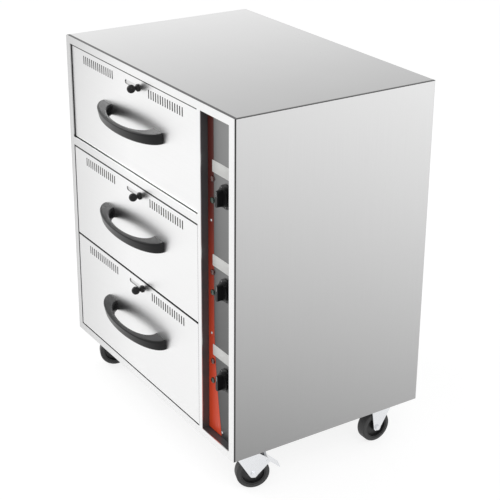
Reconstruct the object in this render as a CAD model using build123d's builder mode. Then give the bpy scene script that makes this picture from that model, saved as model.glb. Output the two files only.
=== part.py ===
# Three-drawer food warmer on swivel casters, in millimetres.
# +Z is up, the drawers face -Y and the control column stands at +X.
# The origin lies on the floor, under the middle of the whole object's box.
import math
import os

from build123d import *

os.makedirs("parts", exist_ok=True)

# Cabinet
CAB_D = 500.0
SHEET = 1.2
BASE_T = 3.0
FRAME_T = 2.0
RETURN_DEPTH = 18.0
SIDE_RETURN = 14.0

# Face frame and the openings in it
LEFT_STILE = 18.5
MID_STILE = 13.0
RECESS_W = 109.0
RIGHT_STILE = 17.5
TOP_RAIL = 16.5
TOP_OPENING_H = 230.0
MID_RAIL = 20.0
BOTTOM_RAIL = 18.5

# Drawers
DRAWER_GAP = 2.5
DRAWER_SPACING = 3.0
MIDDLE_DRAWER_H = 226.0
LOWER_DRAWER_H = 249.0
DRAWER_SETBACK = (4.0, 1.0, 1.0)
DRAWER_TRAVEL = 380.0
FRONT_BOX_DEPTH = 20.0
INNER_PANEL_T = 1.5
PANEL_MARGIN = 1.0
ARM_LENGTH = 396.0
ARM_T = 1.5
ARM_DROP = 62.0
RIM_DROP = 38.0
RING_T = 1.5

# Food pans, full size
PAN_RIM_X = 530.0
PAN_RIM_Y = 325.0
PAN_FLANGE = 12.0
PAN_SIDE_ROOM = 13.0
PAN_DEPTH = 150.0
PAN_WALL = 1.0
PAN_CORNER = 30.0
PAN_FLOOR_ROUND = 15.0
PAN_DRAFT = 3.0
PAN_PLAY = 2.5
PAN_FROM_FRONT = 30.0

# Vents and their slide
VENT_COUNT = 15
VENT_PITCH = 10.16
VENT_W = 4.0
VENT_H = 20.0
VENT_DROP = 13.0
VENT_GROUP_OFFSET = 155.5
VENT_STEPS = 5.5
VENT_PLATE_T = 1.2
VENT_PLATE_MARGIN = 4.0
SLIDE_PLAY = 0.3
GUIDE_T = 1.2
GUIDE_LIP = 3.0
VENT_LEDGE = 2.0
SLOT_H = 10.0
SLOT_DROP = 21.0
STEM_D = 8.0
STEM_FROM_CENTRE = 37.5
SLOT_PLAY = 1.0
BALL_D = 19.0
BALL_OUT = 17.0
COLLAR_D = 17.0
COLLAR_T = 2.0
COLLAR_CONE = 5.0

# Bow handles
HANDLE_SPAN = 282.0
HANDLE_REACH = 45.0
HANDLE_HEIGHT = 25.0
HANDLE_BAR = 10.5
HANDLE_FOOT = 46.0
HANDLE_ROUND = 4.5
HANDLE_TILT = 13.0
HANDLE_SHIFT = 4.0
HANDLE_DROP = (106.0, 107.0, 118.0)

# Telescopic rails
RAIL_SPACE = 13.0
RAIL_T = 1.2
RAIL_H = 45.0
RAIL_LENGTH = 390.0
RAIL_START = 28.0
RAIL_DROP = 66.0
RAIL_PLAY = 0.4
OUTER_LIP = 10.0
MID_WEB = 3.0
MID_LIP = 11.0
INNER_LIP = 7.0

# Heated cavity
LINER_T = 1.0
LINER_REAR = 468.0
INSULATION_GAP = 0.5
ELEMENT_D = 6.4
ELEMENT_LIFT = 9.0
ELEMENT_PASSES = 4
ELEMENT_PITCH = 84.0
ELEMENT_HOLE_PLAY = 0.5
ELEMENT_TAIL = 24.0
ELEMENT_FROM_FRONT = 70.0
ELEMENT_BEND = 36.0
ELEMENT_MARGIN = 30.0
SUPPORT_W = 12.0
SUPPORT_SHARES = (0.3, 0.7)

# Control column
RECESS_DEPTH = 18.0
FASCIA_T = 2.0
FASCIA_PLAY = 0.5
# Knob heights are below the top of the drawer beside them, widths from the recess's left wall
UPPER_CONTROL_DROP = 162.0
MIDDLE_CONTROL_DROP = 120.0
LOWER_CONTROL_DROP = 101.0
CONTROL_IN = 72.5
LAMP_IN = 19.0
LAMP_RISE = 22.0
LAMP_DROP = 25.0
LAMP_D = 13.0
LAMP_NECK_D = 10.0
LAMP_OUT = 4.0
LAMP_ROUND = 2.4
LAMP_BODY = 22.0
SCREW_IN = 13.0
UPPER_SCREW_DROP = 71.0
MIDDLE_SCREW_DROP = 123.0
FOOT_SCREW_IN = 55.5
FOOT_SCREW_RISE = 12.5
SCREW_HEAD_D = 6.0
SCREW_HEAD_H = 1.8
SCREW_SHANK_D = 3.4
SCREW_LENGTH = 9.0
KNOB_SKIRT_D = 52.0
KNOB_SKIRT_T = 3.0
KNOB_BODY_D = 40.0
KNOB_BODY_T = 9.0
KNOB_GRIP_W = 11.0
KNOB_GRIP_T = 22.0
KNOB_DRAFT = 6.0
GRIP_DRAFT = 3.0
GRIP_INSET = 1.0
KNOB_LIFT = 0.4
SPINDLE_D = 6.0
SPINDLE_PLAY = 0.05
SPINDLE_LENGTH = 24.0
SPINDLE_REACH = 18.0
BUSHING_D = 10.0
THERMOSTAT_D = 46.0
THERMOSTAT_T = 26.0

# Cable gland and rear ventilation
GLAND_X = 300.0
GLAND_RISE = 90.0
GLAND_D = 28.0
GLAND_NECK_D = 20.0
GLAND_BORE_D = 9.0
GLAND_OUT = 18.0
GLAND_NUT = 10.8
GLAND_IN = 14.0
REAR_SLOT_COUNT = 12
REAR_SLOT_PITCH = 18.0
REAR_SLOT_W = 70.0
REAR_SLOT_H = 5.0
REAR_SLOT_RISE = 420.0

# Swivel casters
CASTER_H = 100.0
CASTER_INSET_X = 43.0
CASTER_INSET_FRONT = 46.0
CASTER_INSET_REAR = 62.0
PLATE_SIDE = 66.0
PLATE_T = 3.0
PLATE_CORNER = 6.0
PLATE_BOLT_PITCH = 50.0
BOLT_D = 6.0
BOLT_PLAY = 0.25
BOLT_HEAD_D = 10.0
BOLT_HEAD_H = 4.0
CUP_D = 42.0
CUP_H = 6.0
KINGPIN_D = 10.0
KINGPIN_HEAD_D = 16.0
KINGPIN_HEAD_H = 2.5
PIN_PLAY = 0.05
CROWN_PLAY = 0.3
CROWN_D = 46.0
CROWN_T = 2.5
CROWN_REACH = 8.0
WHEEL_D = 75.0
WHEEL_W = 25.0
TYRE_T = 9.0
TYRE_ROUND = 4.0
HUB_BORE_W = 27.0
HUB_BOSS_D = 20.0
HUB_WEB_W = 8.0
HUB_RIM_T = 3.0
HUB_RIM_INSET = 1.0
AXLE_D = 8.0
TRAIL = 26.0
FORK_T = 2.5
FORK_SIDE_PLAY = 0.3
FORK_AHEAD = 16.0
FORK_BEHIND = 17.0
BRAKE_FORK_BEHIND = 12.0
FOOT_HALF = 9.0
FOOT_DROP = 3.0
TIP_HALF = 5.0
TIP_DROP = 8.0
EAR_IN = 2.0
EAR_RISE = 6.0
EAR_OUT = 6.0
EAR_DROP = 3.0
AXLE_HEAD_D = 13.0
AXLE_HEAD_H = 4.0
PEDAL_PIN_D = 5.0
PEDAL_ANGLE = 45.0
PEDAL_PIN_R = 43.5
PEDAL_W = 22.0
PEDAL_T = 2.5
PEDAL_EYE = 1.5
PEDAL_LIFT = 1.0
PIN_END = 1.0
PEDAL_REACH = 30.0
PEDAL_DROP = 24.0
PEDAL_LUG_R = 5.7
PEDAL_LUG_ANGLE = 250.0
# Swivel of each caster at rest: front left, front right, rear left, rear right
CASTER_TURN = (70.0, 70.0, -90.0, -90.0)

# Sizes and places that follow
PAN_BODY_X = PAN_RIM_X - 2 * PAN_FLANGE
PAN_BODY_Y = PAN_RIM_Y - 2 * PAN_FLANGE
OPENING_W = PAN_RIM_X + 2 * (RAIL_SPACE + PAN_SIDE_ROOM)
LOWER_OPENING_H = MIDDLE_DRAWER_H + LOWER_DRAWER_H + DRAWER_SPACING + 2 * DRAWER_GAP
CAB_W = LEFT_STILE + OPENING_W + MID_STILE + RECESS_W + RIGHT_STILE
CAB_H = TOP_RAIL + TOP_OPENING_H + MID_RAIL + LOWER_OPENING_H + BOTTOM_RAIL
TILT = math.radians(HANDLE_TILT)
HANDLE_OUT = (
    (HANDLE_REACH - HANDLE_ROUND) * math.cos(TILT)
    + (HANDLE_HEIGHT / 2 - HANDLE_ROUND) * math.sin(TILT)
    + HANDLE_ROUND
)
REACH = HANDLE_OUT - min(DRAWER_SETBACK)
FRONT_Y = -(REACH + CAB_D + GLAND_OUT) / 2 + REACH
BACK_Y = FRONT_Y + CAB_D
BASE_Z = CASTER_H
TOP_Z = BASE_Z + CAB_H
LEFT_X = -CAB_W / 2
OPENING_X0 = LEFT_X + LEFT_STILE
OPENING_X1 = OPENING_X0 + OPENING_W
OPENING_X = (OPENING_X0 + OPENING_X1) / 2
RECESS_X0 = OPENING_X1 + MID_STILE
RECESS_X1 = RECESS_X0 + RECESS_W
RECESS_Z1 = TOP_Z - TOP_RAIL
RECESS_Z0 = BASE_Z + BOTTOM_RAIL
UPPER_Z1 = TOP_Z - TOP_RAIL
UPPER_Z0 = UPPER_Z1 - TOP_OPENING_H
LOWER_Z1 = UPPER_Z0 - MID_RAIL
LOWER_Z0 = BASE_Z + BOTTOM_RAIL
MIDDLE_Z0 = LOWER_Z1 - DRAWER_GAP - MIDDLE_DRAWER_H
DRAWER_Z1 = (UPPER_Z1 - DRAWER_GAP, LOWER_Z1 - DRAWER_GAP, MIDDLE_Z0 - DRAWER_SPACING)
DRAWER_Z0 = (UPPER_Z0 + DRAWER_GAP, MIDDLE_Z0, LOWER_Z0 + DRAWER_GAP)
UPPER_SHELF_Z = UPPER_Z0 - MID_RAIL / 2
LOWER_SHELF_Z = MIDDLE_Z0 - DRAWER_SPACING / 2
FLOOR_Z = (UPPER_SHELF_Z + LINER_T / 2, LOWER_SHELF_Z + LINER_T / 2, LOWER_Z0)
DRAWER_W = OPENING_W - 2 * DRAWER_GAP
LINER_Y0 = FRONT_Y + FRAME_T + RETURN_DEPTH
LINER_Y1 = FRONT_Y + LINER_REAR
FASCIA_Y = FRONT_Y + RECESS_DEPTH
BACKPLATE_Y = FASCIA_Y + FASCIA_T
CONTROL_CX = RECESS_X0 + CONTROL_IN
LAMP_CX = RECESS_X0 + LAMP_IN
CONTROL_DROPS = (UPPER_CONTROL_DROP, MIDDLE_CONTROL_DROP, LOWER_CONTROL_DROP)
CONTROL_Z = [z1 - drop for z1, drop in zip(DRAWER_Z1, CONTROL_DROPS)]
KNOB_PLACES = [(CONTROL_CX, z) for z in CONTROL_Z]
RED_LAMP_PLACES = [(LAMP_CX, z + LAMP_RISE) for z in CONTROL_Z]
GREEN_LAMP_PLACES = [(LAMP_CX, z - LAMP_DROP) for z in CONTROL_Z]
SCREW_PLACES = [
    (RECESS_X0 + SCREW_IN, CONTROL_Z[0] - UPPER_SCREW_DROP),
    (RECESS_X0 + SCREW_IN, CONTROL_Z[1] - MIDDLE_SCREW_DROP),
    (RECESS_X0 + FOOT_SCREW_IN, RECESS_Z0 + FOOT_SCREW_RISE),
]
VENT_TRAVEL = VENT_STEPS * VENT_PITCH
NAMES = ("upper", "middle", "lower")


def save(piece, name):
    piece.label = name
    export_step(piece, "parts/" + name + ".step")


def facing_front(y):
    # Sketch plane at depth y whose normal is -Y: sketch x is +X, sketch y is +Z.
    return Plane(origin=(0, y, 0), x_dir=(1, 0, 0), z_dir=(0, -1, 0))


def slab(x0, x1, y0, y1, z0, z1):
    # Adds a plate or bar to the part under construction.
    with Locations(((x0 + x1) / 2, (y0 + y1) / 2, (z0 + z1) / 2)):
        Box(x1 - x0, y1 - y0, z1 - z0)


# Outer shell
with BuildPart() as top_panel:
    slab(LEFT_X, -LEFT_X, FRONT_Y + FRAME_T, BACK_Y, TOP_Z - SHEET, TOP_Z)
save(top_panel.part, "top_panel")

for side, label in ((-1, "left_side_panel"), (1, "right_side_panel")):
    outer = side * CAB_W / 2
    inner = outer - side * SHEET
    lip = outer - side * SIDE_RETURN
    with BuildPart() as side_panel:
        with BuildSketch(Plane.XY.offset(BASE_Z)):
            with BuildLine():
                Polyline(
                    (outer, FRONT_Y + FRAME_T),
                    (outer, BACK_Y - SHEET),
                    (lip, BACK_Y - SHEET),
                    (lip, BACK_Y - 2 * SHEET),
                    (inner, BACK_Y - 2 * SHEET),
                    (inner, FRONT_Y + FRAME_T),
                    close=True,
                )
            make_face()
        extrude(amount=CAB_H - SHEET)
    save(side_panel.part, label)

with BuildPart() as rear_panel:
    slab(LEFT_X, -LEFT_X, BACK_Y - SHEET, BACK_Y, BASE_Z, TOP_Z - SHEET)
    with BuildSketch(facing_front(BACK_Y)):
        with Locations((GLAND_X, BASE_Z + GLAND_RISE)):
            Circle(GLAND_NECK_D / 2)
        with Locations((GLAND_X, BASE_Z + REAR_SLOT_RISE)):
            with GridLocations(1, REAR_SLOT_PITCH, 1, REAR_SLOT_COUNT):
                SlotOverall(REAR_SLOT_W, REAR_SLOT_H)
    extrude(amount=SHEET, mode=Mode.SUBTRACT)
save(rear_panel.part, "rear_panel")

CASTERS = (
    ("front_left", LEFT_X + CASTER_INSET_X, FRONT_Y + CASTER_INSET_FRONT, CASTER_TURN[0]),
    ("front_right", -LEFT_X - CASTER_INSET_X, FRONT_Y + CASTER_INSET_FRONT, CASTER_TURN[1]),
    ("rear_left", LEFT_X + CASTER_INSET_X, BACK_Y - CASTER_INSET_REAR, CASTER_TURN[2]),
    ("rear_right", -LEFT_X - CASTER_INSET_X, BACK_Y - CASTER_INSET_REAR, CASTER_TURN[3]),
)
PLATE_PLACES = [(x, y) for name, x, y, turn in CASTERS]

with BuildPart() as base_panel:
    slab(
        LEFT_X + SHEET, -LEFT_X - SHEET,
        FRONT_Y + FRAME_T, BACK_Y - 2 * SHEET,
        BASE_Z, BASE_Z + BASE_T,
    )
    with BuildSketch(Plane.XY.offset(BASE_Z)):
        with Locations(PLATE_PLACES):
            with GridLocations(PLATE_BOLT_PITCH, PLATE_BOLT_PITCH, 2, 2):
                Circle(BOLT_D / 2 + BOLT_PLAY)
    extrude(amount=BASE_T, mode=Mode.SUBTRACT)
save(base_panel.part, "base_panel")

OPENINGS = (
    (OPENING_X0, OPENING_X1, UPPER_Z0, UPPER_Z1),
    (OPENING_X0, OPENING_X1, LOWER_Z0, LOWER_Z1),
    (RECESS_X0, RECESS_X1, RECESS_Z0, RECESS_Z1),
)
with BuildPart() as front_frame:
    with BuildSketch(facing_front(FRONT_Y + FRAME_T)):
        with Locations((0, (BASE_Z + TOP_Z) / 2)):
            Rectangle(CAB_W, CAB_H)
        for x0, x1, z0, z1 in OPENINGS:
            with Locations(((x0 + x1) / 2, (z0 + z1) / 2)):
                Rectangle(x1 - x0, z1 - z0, mode=Mode.SUBTRACT)
    extrude(amount=FRAME_T)
    with BuildSketch(facing_front(FRONT_Y + FRAME_T)):
        for x0, x1, z0, z1 in OPENINGS[:2]:
            with Locations(((x0 + x1) / 2, (z0 + z1) / 2)):
                Rectangle(x1 - x0 + 2 * SHEET, z1 - z0 + 2 * SHEET)
                Rectangle(x1 - x0, z1 - z0, mode=Mode.SUBTRACT)
    extrude(amount=-RETURN_DEPTH)
save(front_frame.part, "front_frame")

# Heated cavity: liner with its two shelves, elements and insulation
TAIL_X = OPENING_X1 + LINER_T + ELEMENT_TAIL
ELEMENT_X0 = OPENING_X0 + ELEMENT_MARGIN
ELEMENT_Y0 = LINER_Y0 + ELEMENT_FROM_FRONT
PASS_YS = [ELEMENT_Y0 + k * ELEMENT_PITCH for k in range(ELEMENT_PASSES)]
with BuildPart() as liner:
    slab(
        OPENING_X0 - LINER_T, OPENING_X1 + LINER_T,
        LINER_Y0, LINER_Y1 + LINER_T,
        LOWER_Z0 - LINER_T, UPPER_Z1 + LINER_T,
    )
    with BuildSketch(Plane.XY.offset(LOWER_Z0)):
        with Locations((OPENING_X, (LINER_Y0 + LINER_Y1) / 2)):
            Rectangle(OPENING_W, LINER_Y1 - LINER_Y0)
    extrude(amount=UPPER_Z1 - LOWER_Z0, mode=Mode.SUBTRACT)
    for shelf_z in (UPPER_SHELF_Z, LOWER_SHELF_Z):
        slab(
            OPENING_X0, OPENING_X1,
            FRONT_Y + RAIL_START, LINER_Y1,
            shelf_z - LINER_T / 2, shelf_z + LINER_T / 2,
        )
    for floor_z in FLOOR_Z:
        for share in SUPPORT_SHARES:
            x = OPENING_X0 + share * OPENING_W
            slab(
                x - SUPPORT_W / 2, x + SUPPORT_W / 2,
                PASS_YS[0] - SUPPORT_W, PASS_YS[-1] + SUPPORT_W,
                floor_z, floor_z + ELEMENT_LIFT - ELEMENT_D / 2,
            )
    with BuildSketch(Plane.YZ.offset(OPENING_X1)):
        with Locations([(y, z + ELEMENT_LIFT) for z in FLOOR_Z for y in (PASS_YS[0], PASS_YS[-1])]):
            Circle(ELEMENT_D / 2 + ELEMENT_HOLE_PLAY)
    extrude(amount=LINER_T, mode=Mode.SUBTRACT)
save(liner.part, "cavity_liner")

with BuildPart() as elements:
    for floor_z in FLOOR_Z:
        tube_z = floor_z + ELEMENT_LIFT
        turn_x1 = OPENING_X1 - ELEMENT_MARGIN
        route = [(TAIL_X, PASS_YS[0], tube_z)]
        for k, y in enumerate(PASS_YS[:-1]):
            turn_x = ELEMENT_X0 if k % 2 == 0 else turn_x1
            route += [(turn_x, y, tube_z), (turn_x, PASS_YS[k + 1], tube_z)]
        route.append((TAIL_X, PASS_YS[-1], tube_z))
        with BuildLine() as path:
            FilletPolyline(*route, radius=ELEMENT_BEND)
        with BuildSketch(Plane.YZ.offset(TAIL_X)):
            with Locations((PASS_YS[0], tube_z)):
                Circle(ELEMENT_D / 2)
        sweep(path=path.line)
save(elements.part, "heating_elements")

GAP = INSULATION_GAP
with BuildPart() as insulation:
    slab(
        LEFT_X + SHEET + GAP, OPENING_X0 - LINER_T - GAP,
        LINER_Y0, LINER_Y1, LOWER_Z0, UPPER_Z1,
    )
    slab(
        OPENING_X0, OPENING_X1,
        LINER_Y1 + LINER_T + GAP, BACK_Y - 2 * SHEET - GAP, LOWER_Z0, UPPER_Z1,
    )
    slab(
        OPENING_X0, OPENING_X1,
        LINER_Y0 + GAP, LINER_Y1, UPPER_Z1 + LINER_T + GAP, TOP_Z - SHEET - GAP,
    )
    slab(
        OPENING_X0, OPENING_X1,
        LINER_Y0 + GAP, LINER_Y1, BASE_Z + BASE_T + BOLT_HEAD_H + GAP, LOWER_Z0 - LINER_T - GAP,
    )
save(insulation.part, "insulation")

# Control column
def control_holes(y, depth):
    # Cuts the openings for bushings, lamps and screws out of a plate whose back is at y.
    with BuildSketch(facing_front(y)) as holes:
        with Locations(KNOB_PLACES):
            Circle(BUSHING_D / 2)
        with Locations(RED_LAMP_PLACES + GREEN_LAMP_PLACES):
            Circle(LAMP_NECK_D / 2)
        with Locations(SCREW_PLACES):
            Circle(SCREW_SHANK_D / 2)
    extrude(holes.sketch, amount=depth, mode=Mode.SUBTRACT)


with BuildPart() as recess:
    slab(
        RECESS_X0 - SHEET, RECESS_X1 + SHEET,
        FRONT_Y + FRAME_T, BACKPLATE_Y + SHEET,
        RECESS_Z0 - SHEET, RECESS_Z1 + SHEET,
    )
    with BuildSketch(Plane.XY.offset(RECESS_Z0)):
        with Locations(((RECESS_X0 + RECESS_X1) / 2, (FRONT_Y + FRAME_T + BACKPLATE_Y) / 2)):
            Rectangle(RECESS_W, BACKPLATE_Y - FRONT_Y - FRAME_T)
    extrude(amount=RECESS_Z1 - RECESS_Z0, mode=Mode.SUBTRACT)
    control_holes(BACKPLATE_Y + SHEET, SHEET)
save(recess.part, "control_recess")

with BuildPart() as fascia:
    slab(
        RECESS_X0 + FASCIA_PLAY, RECESS_X1 - FASCIA_PLAY,
        FASCIA_Y, BACKPLATE_Y,
        RECESS_Z0 + FASCIA_PLAY, RECESS_Z1 - FASCIA_PLAY,
    )
    control_holes(BACKPLATE_Y, FASCIA_T)
save(fascia.part, "control_fascia")

with BuildPart() as fascia_screws:
    with BuildSketch(facing_front(FASCIA_Y)):
        with Locations(SCREW_PLACES):
            Circle(SCREW_HEAD_D / 2)
    extrude(amount=SCREW_HEAD_H)
    fillet(fascia_screws.faces().sort_by(Axis.Y)[0:len(SCREW_PLACES)].edges(), SCREW_HEAD_H / 2)
    with BuildSketch(facing_front(FASCIA_Y + SCREW_LENGTH)):
        with Locations(SCREW_PLACES):
            Circle(SCREW_SHANK_D / 2)
    extrude(amount=SCREW_LENGTH)
save(fascia_screws.part, "fascia_screws")

for label, places in (("red_lamps", RED_LAMP_PLACES), ("green_lamps", GREEN_LAMP_PLACES)):
    with BuildPart() as lamps:
        with BuildSketch(facing_front(FASCIA_Y)):
            with Locations(places):
                Circle(LAMP_D / 2)
        extrude(amount=LAMP_OUT)
        fillet(lamps.faces().sort_by(Axis.Y)[0:len(places)].edges(), LAMP_ROUND)
        with BuildSketch(facing_front(FASCIA_Y + LAMP_BODY)):
            with Locations(places):
                Circle(LAMP_NECK_D / 2)
        extrude(amount=LAMP_BODY)
    save(lamps.part, label)

with BuildPart() as thermostats:
    body_y = BACKPLATE_Y + SHEET
    for place in KNOB_PLACES:
        with BuildSketch(facing_front(body_y + THERMOSTAT_T)):
            with Locations(place):
                Circle(THERMOSTAT_D / 2)
        extrude(amount=THERMOSTAT_T)
        with BuildSketch(facing_front(body_y)):
            with Locations(place):
                Circle(BUSHING_D / 2)
        extrude(amount=body_y - FASCIA_Y)
        with BuildSketch(facing_front(FASCIA_Y)):
            with Locations(place):
                Circle(SPINDLE_D / 2 + SPINDLE_PLAY)
        extrude(amount=-SPINDLE_LENGTH, mode=Mode.SUBTRACT)
save(thermostats.part, "thermostats")

knob_y = FASCIA_Y - KNOB_LIFT
for name, centre in zip(NAMES, KNOB_PLACES):
    with BuildPart() as knob:
        with BuildSketch(facing_front(knob_y)):
            with Locations(centre):
                Circle(KNOB_SKIRT_D / 2)
        extrude(amount=KNOB_SKIRT_T)
        with BuildSketch(facing_front(knob_y - KNOB_SKIRT_T)):
            with Locations(centre):
                Circle(KNOB_BODY_D / 2)
        extrude(amount=KNOB_BODY_T, taper=KNOB_DRAFT)
        with BuildSketch(facing_front(knob_y - KNOB_SKIRT_T)):
            with Locations(centre):
                SlotOverall(KNOB_BODY_D - 2 * GRIP_INSET, KNOB_GRIP_W, rotation=90)
        extrude(amount=KNOB_GRIP_T, taper=GRIP_DRAFT)
        with BuildSketch(facing_front(knob_y + SPINDLE_REACH)):
            with Locations(centre):
                Circle(SPINDLE_D / 2)
        extrude(amount=SPINDLE_REACH)
    save(knob.part, "knob_" + name)

with BuildPart() as gland:
    with BuildSketch(facing_front(BACK_Y + GLAND_OUT)):
        with Locations((GLAND_X, BASE_Z + GLAND_RISE)):
            Circle(GLAND_NECK_D / 2)
    extrude(amount=GLAND_OUT + SHEET + GLAND_IN)
    with BuildSketch(facing_front(BACK_Y + GLAND_NUT)):
        with Locations((GLAND_X, BASE_Z + GLAND_RISE)):
            RegularPolygon(GLAND_D / 2, 6)
    extrude(amount=GLAND_NUT)
    with BuildSketch(facing_front(BACK_Y - SHEET)):
        with Locations((GLAND_X, BASE_Z + GLAND_RISE)):
            RegularPolygon(GLAND_D / 2, 6)
    extrude(amount=GLAND_IN / 2)
    with BuildSketch(facing_front(BACK_Y + GLAND_OUT)):
        with Locations((GLAND_X, BASE_Z + GLAND_RISE)):
            Circle(GLAND_BORE_D / 2)
    extrude(amount=GLAND_OUT + SHEET + GLAND_IN, mode=Mode.SUBTRACT)
save(gland.part, "cable_gland")


def rail_section(side, z, web0, web1, lip, half_height, y0):
    # Channel on one wall of the cavity: web between web0 and web1, flanges out to lip.
    wall = OPENING_X + side * OPENING_W / 2
    place = [
        (web0, -half_height), (lip, -half_height), (lip, RAIL_T - half_height),
        (web1, RAIL_T - half_height), (web1, half_height - RAIL_T),
        (lip, half_height - RAIL_T), (lip, half_height), (web0, half_height),
    ]
    with BuildSketch(facing_front(y0 + RAIL_LENGTH)) as section:
        with BuildLine():
            Polyline(*[(wall - side * t, z + h) for t, h in place], close=True)
        make_face()
    extrude(section.sketch, amount=RAIL_LENGTH)


RAIL_Y0 = FRONT_Y + RAIL_START
MID_HALF = RAIL_H / 2 - RAIL_T - RAIL_PLAY
INNER_HALF = MID_HALF - RAIL_T - RAIL_PLAY
with BuildPart() as outer_rails:
    for z1 in DRAWER_Z1:
        for side in (-1, 1):
            rail_section(side, z1 - RAIL_DROP, 0, RAIL_T, OUTER_LIP, RAIL_H / 2, RAIL_Y0)
save(outer_rails.part, "outer_rails")

# Drawers, each with its front, carriage, pan, handle, rails and vent slide
for k, name in enumerate(NAMES):
    z0, z1 = DRAWER_Z0[k], DRAWER_Z1[k]
    face_y = FRONT_Y + DRAWER_SETBACK[k]
    skin_y = face_y + SHEET
    rear_y = face_y + FRONT_BOX_DEPTH
    vent_z = z1 - VENT_DROP - VENT_H / 2
    slot_z = z1 - SLOT_DROP
    stem_x = OPENING_X + STEM_FROM_CENTRE
    slot_length = VENT_TRAVEL + STEM_D + 2 * SLOT_PLAY
    slot_x = stem_x + STEM_D / 2 + SLOT_PLAY - slot_length / 2
    handle_z = z1 - HANDLE_DROP[k]
    group_half = (VENT_COUNT - 1) * VENT_PITCH / 2
    plate_x0 = OPENING_X - VENT_GROUP_OFFSET - group_half - VENT_PLATE_MARGIN
    plate_x1 = OPENING_X + VENT_GROUP_OFFSET + group_half + VENT_PLATE_MARGIN
    plate_z0 = vent_z - VENT_H / 2 - VENT_PLATE_MARGIN
    plate_z1 = vent_z + VENT_H / 2 + VENT_PLATE_MARGIN
    plate_y0 = skin_y + SLIDE_PLAY
    plate_y1 = plate_y0 + VENT_PLATE_T
    lip_y = plate_y1 + SLIDE_PLAY

    # Front: a shallow box of sheet with the vent slots and two guides behind them
    with BuildPart() as front:
        slab(OPENING_X - DRAWER_W / 2, OPENING_X + DRAWER_W / 2, face_y, rear_y, z0, z1)
        with BuildSketch(facing_front(rear_y)):
            with Locations((OPENING_X, (z0 + z1) / 2)):
                Rectangle(DRAWER_W - 2 * SHEET, z1 - z0 - 2 * SHEET)
        extrude(amount=FRONT_BOX_DEPTH - SHEET, mode=Mode.SUBTRACT)
        with BuildSketch(facing_front(skin_y)):
            for side in (-1, 1):
                with Locations((OPENING_X + side * VENT_GROUP_OFFSET, vent_z)):
                    with GridLocations(VENT_PITCH, 1, VENT_COUNT, 1):
                        Rectangle(VENT_W, VENT_H)
            with Locations((slot_x, slot_z)):
                SlotOverall(slot_length, SLOT_H)
        extrude(amount=SHEET, mode=Mode.SUBTRACT)
        for side, edge in ((1, plate_z1 + SLIDE_PLAY), (-1, plate_z0 - SLIDE_PLAY)):
            far = edge + side * GUIDE_T
            lip = edge - side * GUIDE_LIP
            with BuildSketch(Plane.YZ.offset(plate_x0)):
                with BuildLine():
                    Polyline(
                        (skin_y, edge), (lip_y, edge), (lip_y, lip),
                        (lip_y + GUIDE_T, lip), (lip_y + GUIDE_T, far), (skin_y, far),
                        close=True,
                    )
                make_face()
            extrude(amount=plate_x1 - plate_x0)
    save(front.part, "drawer_front_" + name)

    # Carriage: inner panel, two arms, a ring that carries the pan and a rear cross bar
    arm_x = OPENING_W / 2 - RAIL_SPACE
    arm_y1 = rear_y + ARM_LENGTH
    ring_z1 = z1 - RIM_DROP
    ring_z0 = ring_z1 - RING_T
    arm_z0 = ring_z1 - ARM_DROP
    pan_y = rear_y + PAN_FROM_FRONT + PAN_RIM_Y / 2
    with BuildPart() as carriage:
        slab(
            OPENING_X - DRAWER_W / 2 + PANEL_MARGIN, OPENING_X + DRAWER_W / 2 - PANEL_MARGIN,
            rear_y, rear_y + INNER_PANEL_T, z0 + PANEL_MARGIN, z1 - PANEL_MARGIN,
        )
        for side in (-1, 1):
            a = OPENING_X + side * arm_x
            b = a - side * ARM_T
            slab(min(a, b), max(a, b), rear_y, arm_y1, arm_z0, ring_z1)
        slab(OPENING_X - arm_x, OPENING_X + arm_x, arm_y1 - ARM_T, arm_y1, arm_z0, ring_z1)
        slab(OPENING_X - arm_x, OPENING_X + arm_x, rear_y, arm_y1, ring_z0, ring_z1)
        with BuildSketch(Plane.XY.offset(ring_z0)):
            with Locations((OPENING_X, pan_y)):
                RectangleRounded(PAN_BODY_X + 2 * PAN_PLAY, PAN_BODY_Y + 2 * PAN_PLAY, PAN_CORNER)
        extrude(amount=RING_T, mode=Mode.SUBTRACT)
        with BuildSketch(facing_front(rear_y + INNER_PANEL_T)):
            with Locations((OPENING_X - VENT_GROUP_OFFSET, vent_z), (OPENING_X + VENT_GROUP_OFFSET, vent_z)):
                Rectangle(2 * group_half + VENT_W, VENT_H - 2 * VENT_LEDGE)
        extrude(amount=INNER_PANEL_T, mode=Mode.SUBTRACT)
    save(carriage.part, "carriage_" + name)

    # Pan: tapered, rounded well under a flat rim
    with BuildPart() as well:
        with BuildSketch(Plane.XY.offset(ring_z1 + PAN_WALL)):
            with Locations((OPENING_X, pan_y)):
                RectangleRounded(
                    PAN_BODY_X - 2 * PAN_WALL, PAN_BODY_Y - 2 * PAN_WALL, PAN_CORNER - PAN_WALL,
                )
        extrude(amount=-PAN_DEPTH, taper=PAN_DRAFT)
        fillet(well.faces().sort_by(Axis.Z)[0].edges(), PAN_FLOOR_ROUND - PAN_WALL)
    with BuildPart() as pan:
        with BuildSketch(Plane.XY.offset(ring_z1)):
            with Locations((OPENING_X, pan_y)):
                RectangleRounded(PAN_BODY_X, PAN_BODY_Y, PAN_CORNER)
        extrude(amount=-PAN_DEPTH, taper=PAN_DRAFT)
        fillet(pan.faces().sort_by(Axis.Z)[0].edges(), PAN_FLOOR_ROUND)
        with BuildSketch(Plane.XY.offset(ring_z1)):
            with Locations((OPENING_X, pan_y)):
                RectangleRounded(PAN_RIM_X, PAN_RIM_Y, PAN_CORNER)
        extrude(amount=PAN_WALL)
        add(well.part, mode=Mode.SUBTRACT)
    save(pan.part, "pan_" + name)

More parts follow.
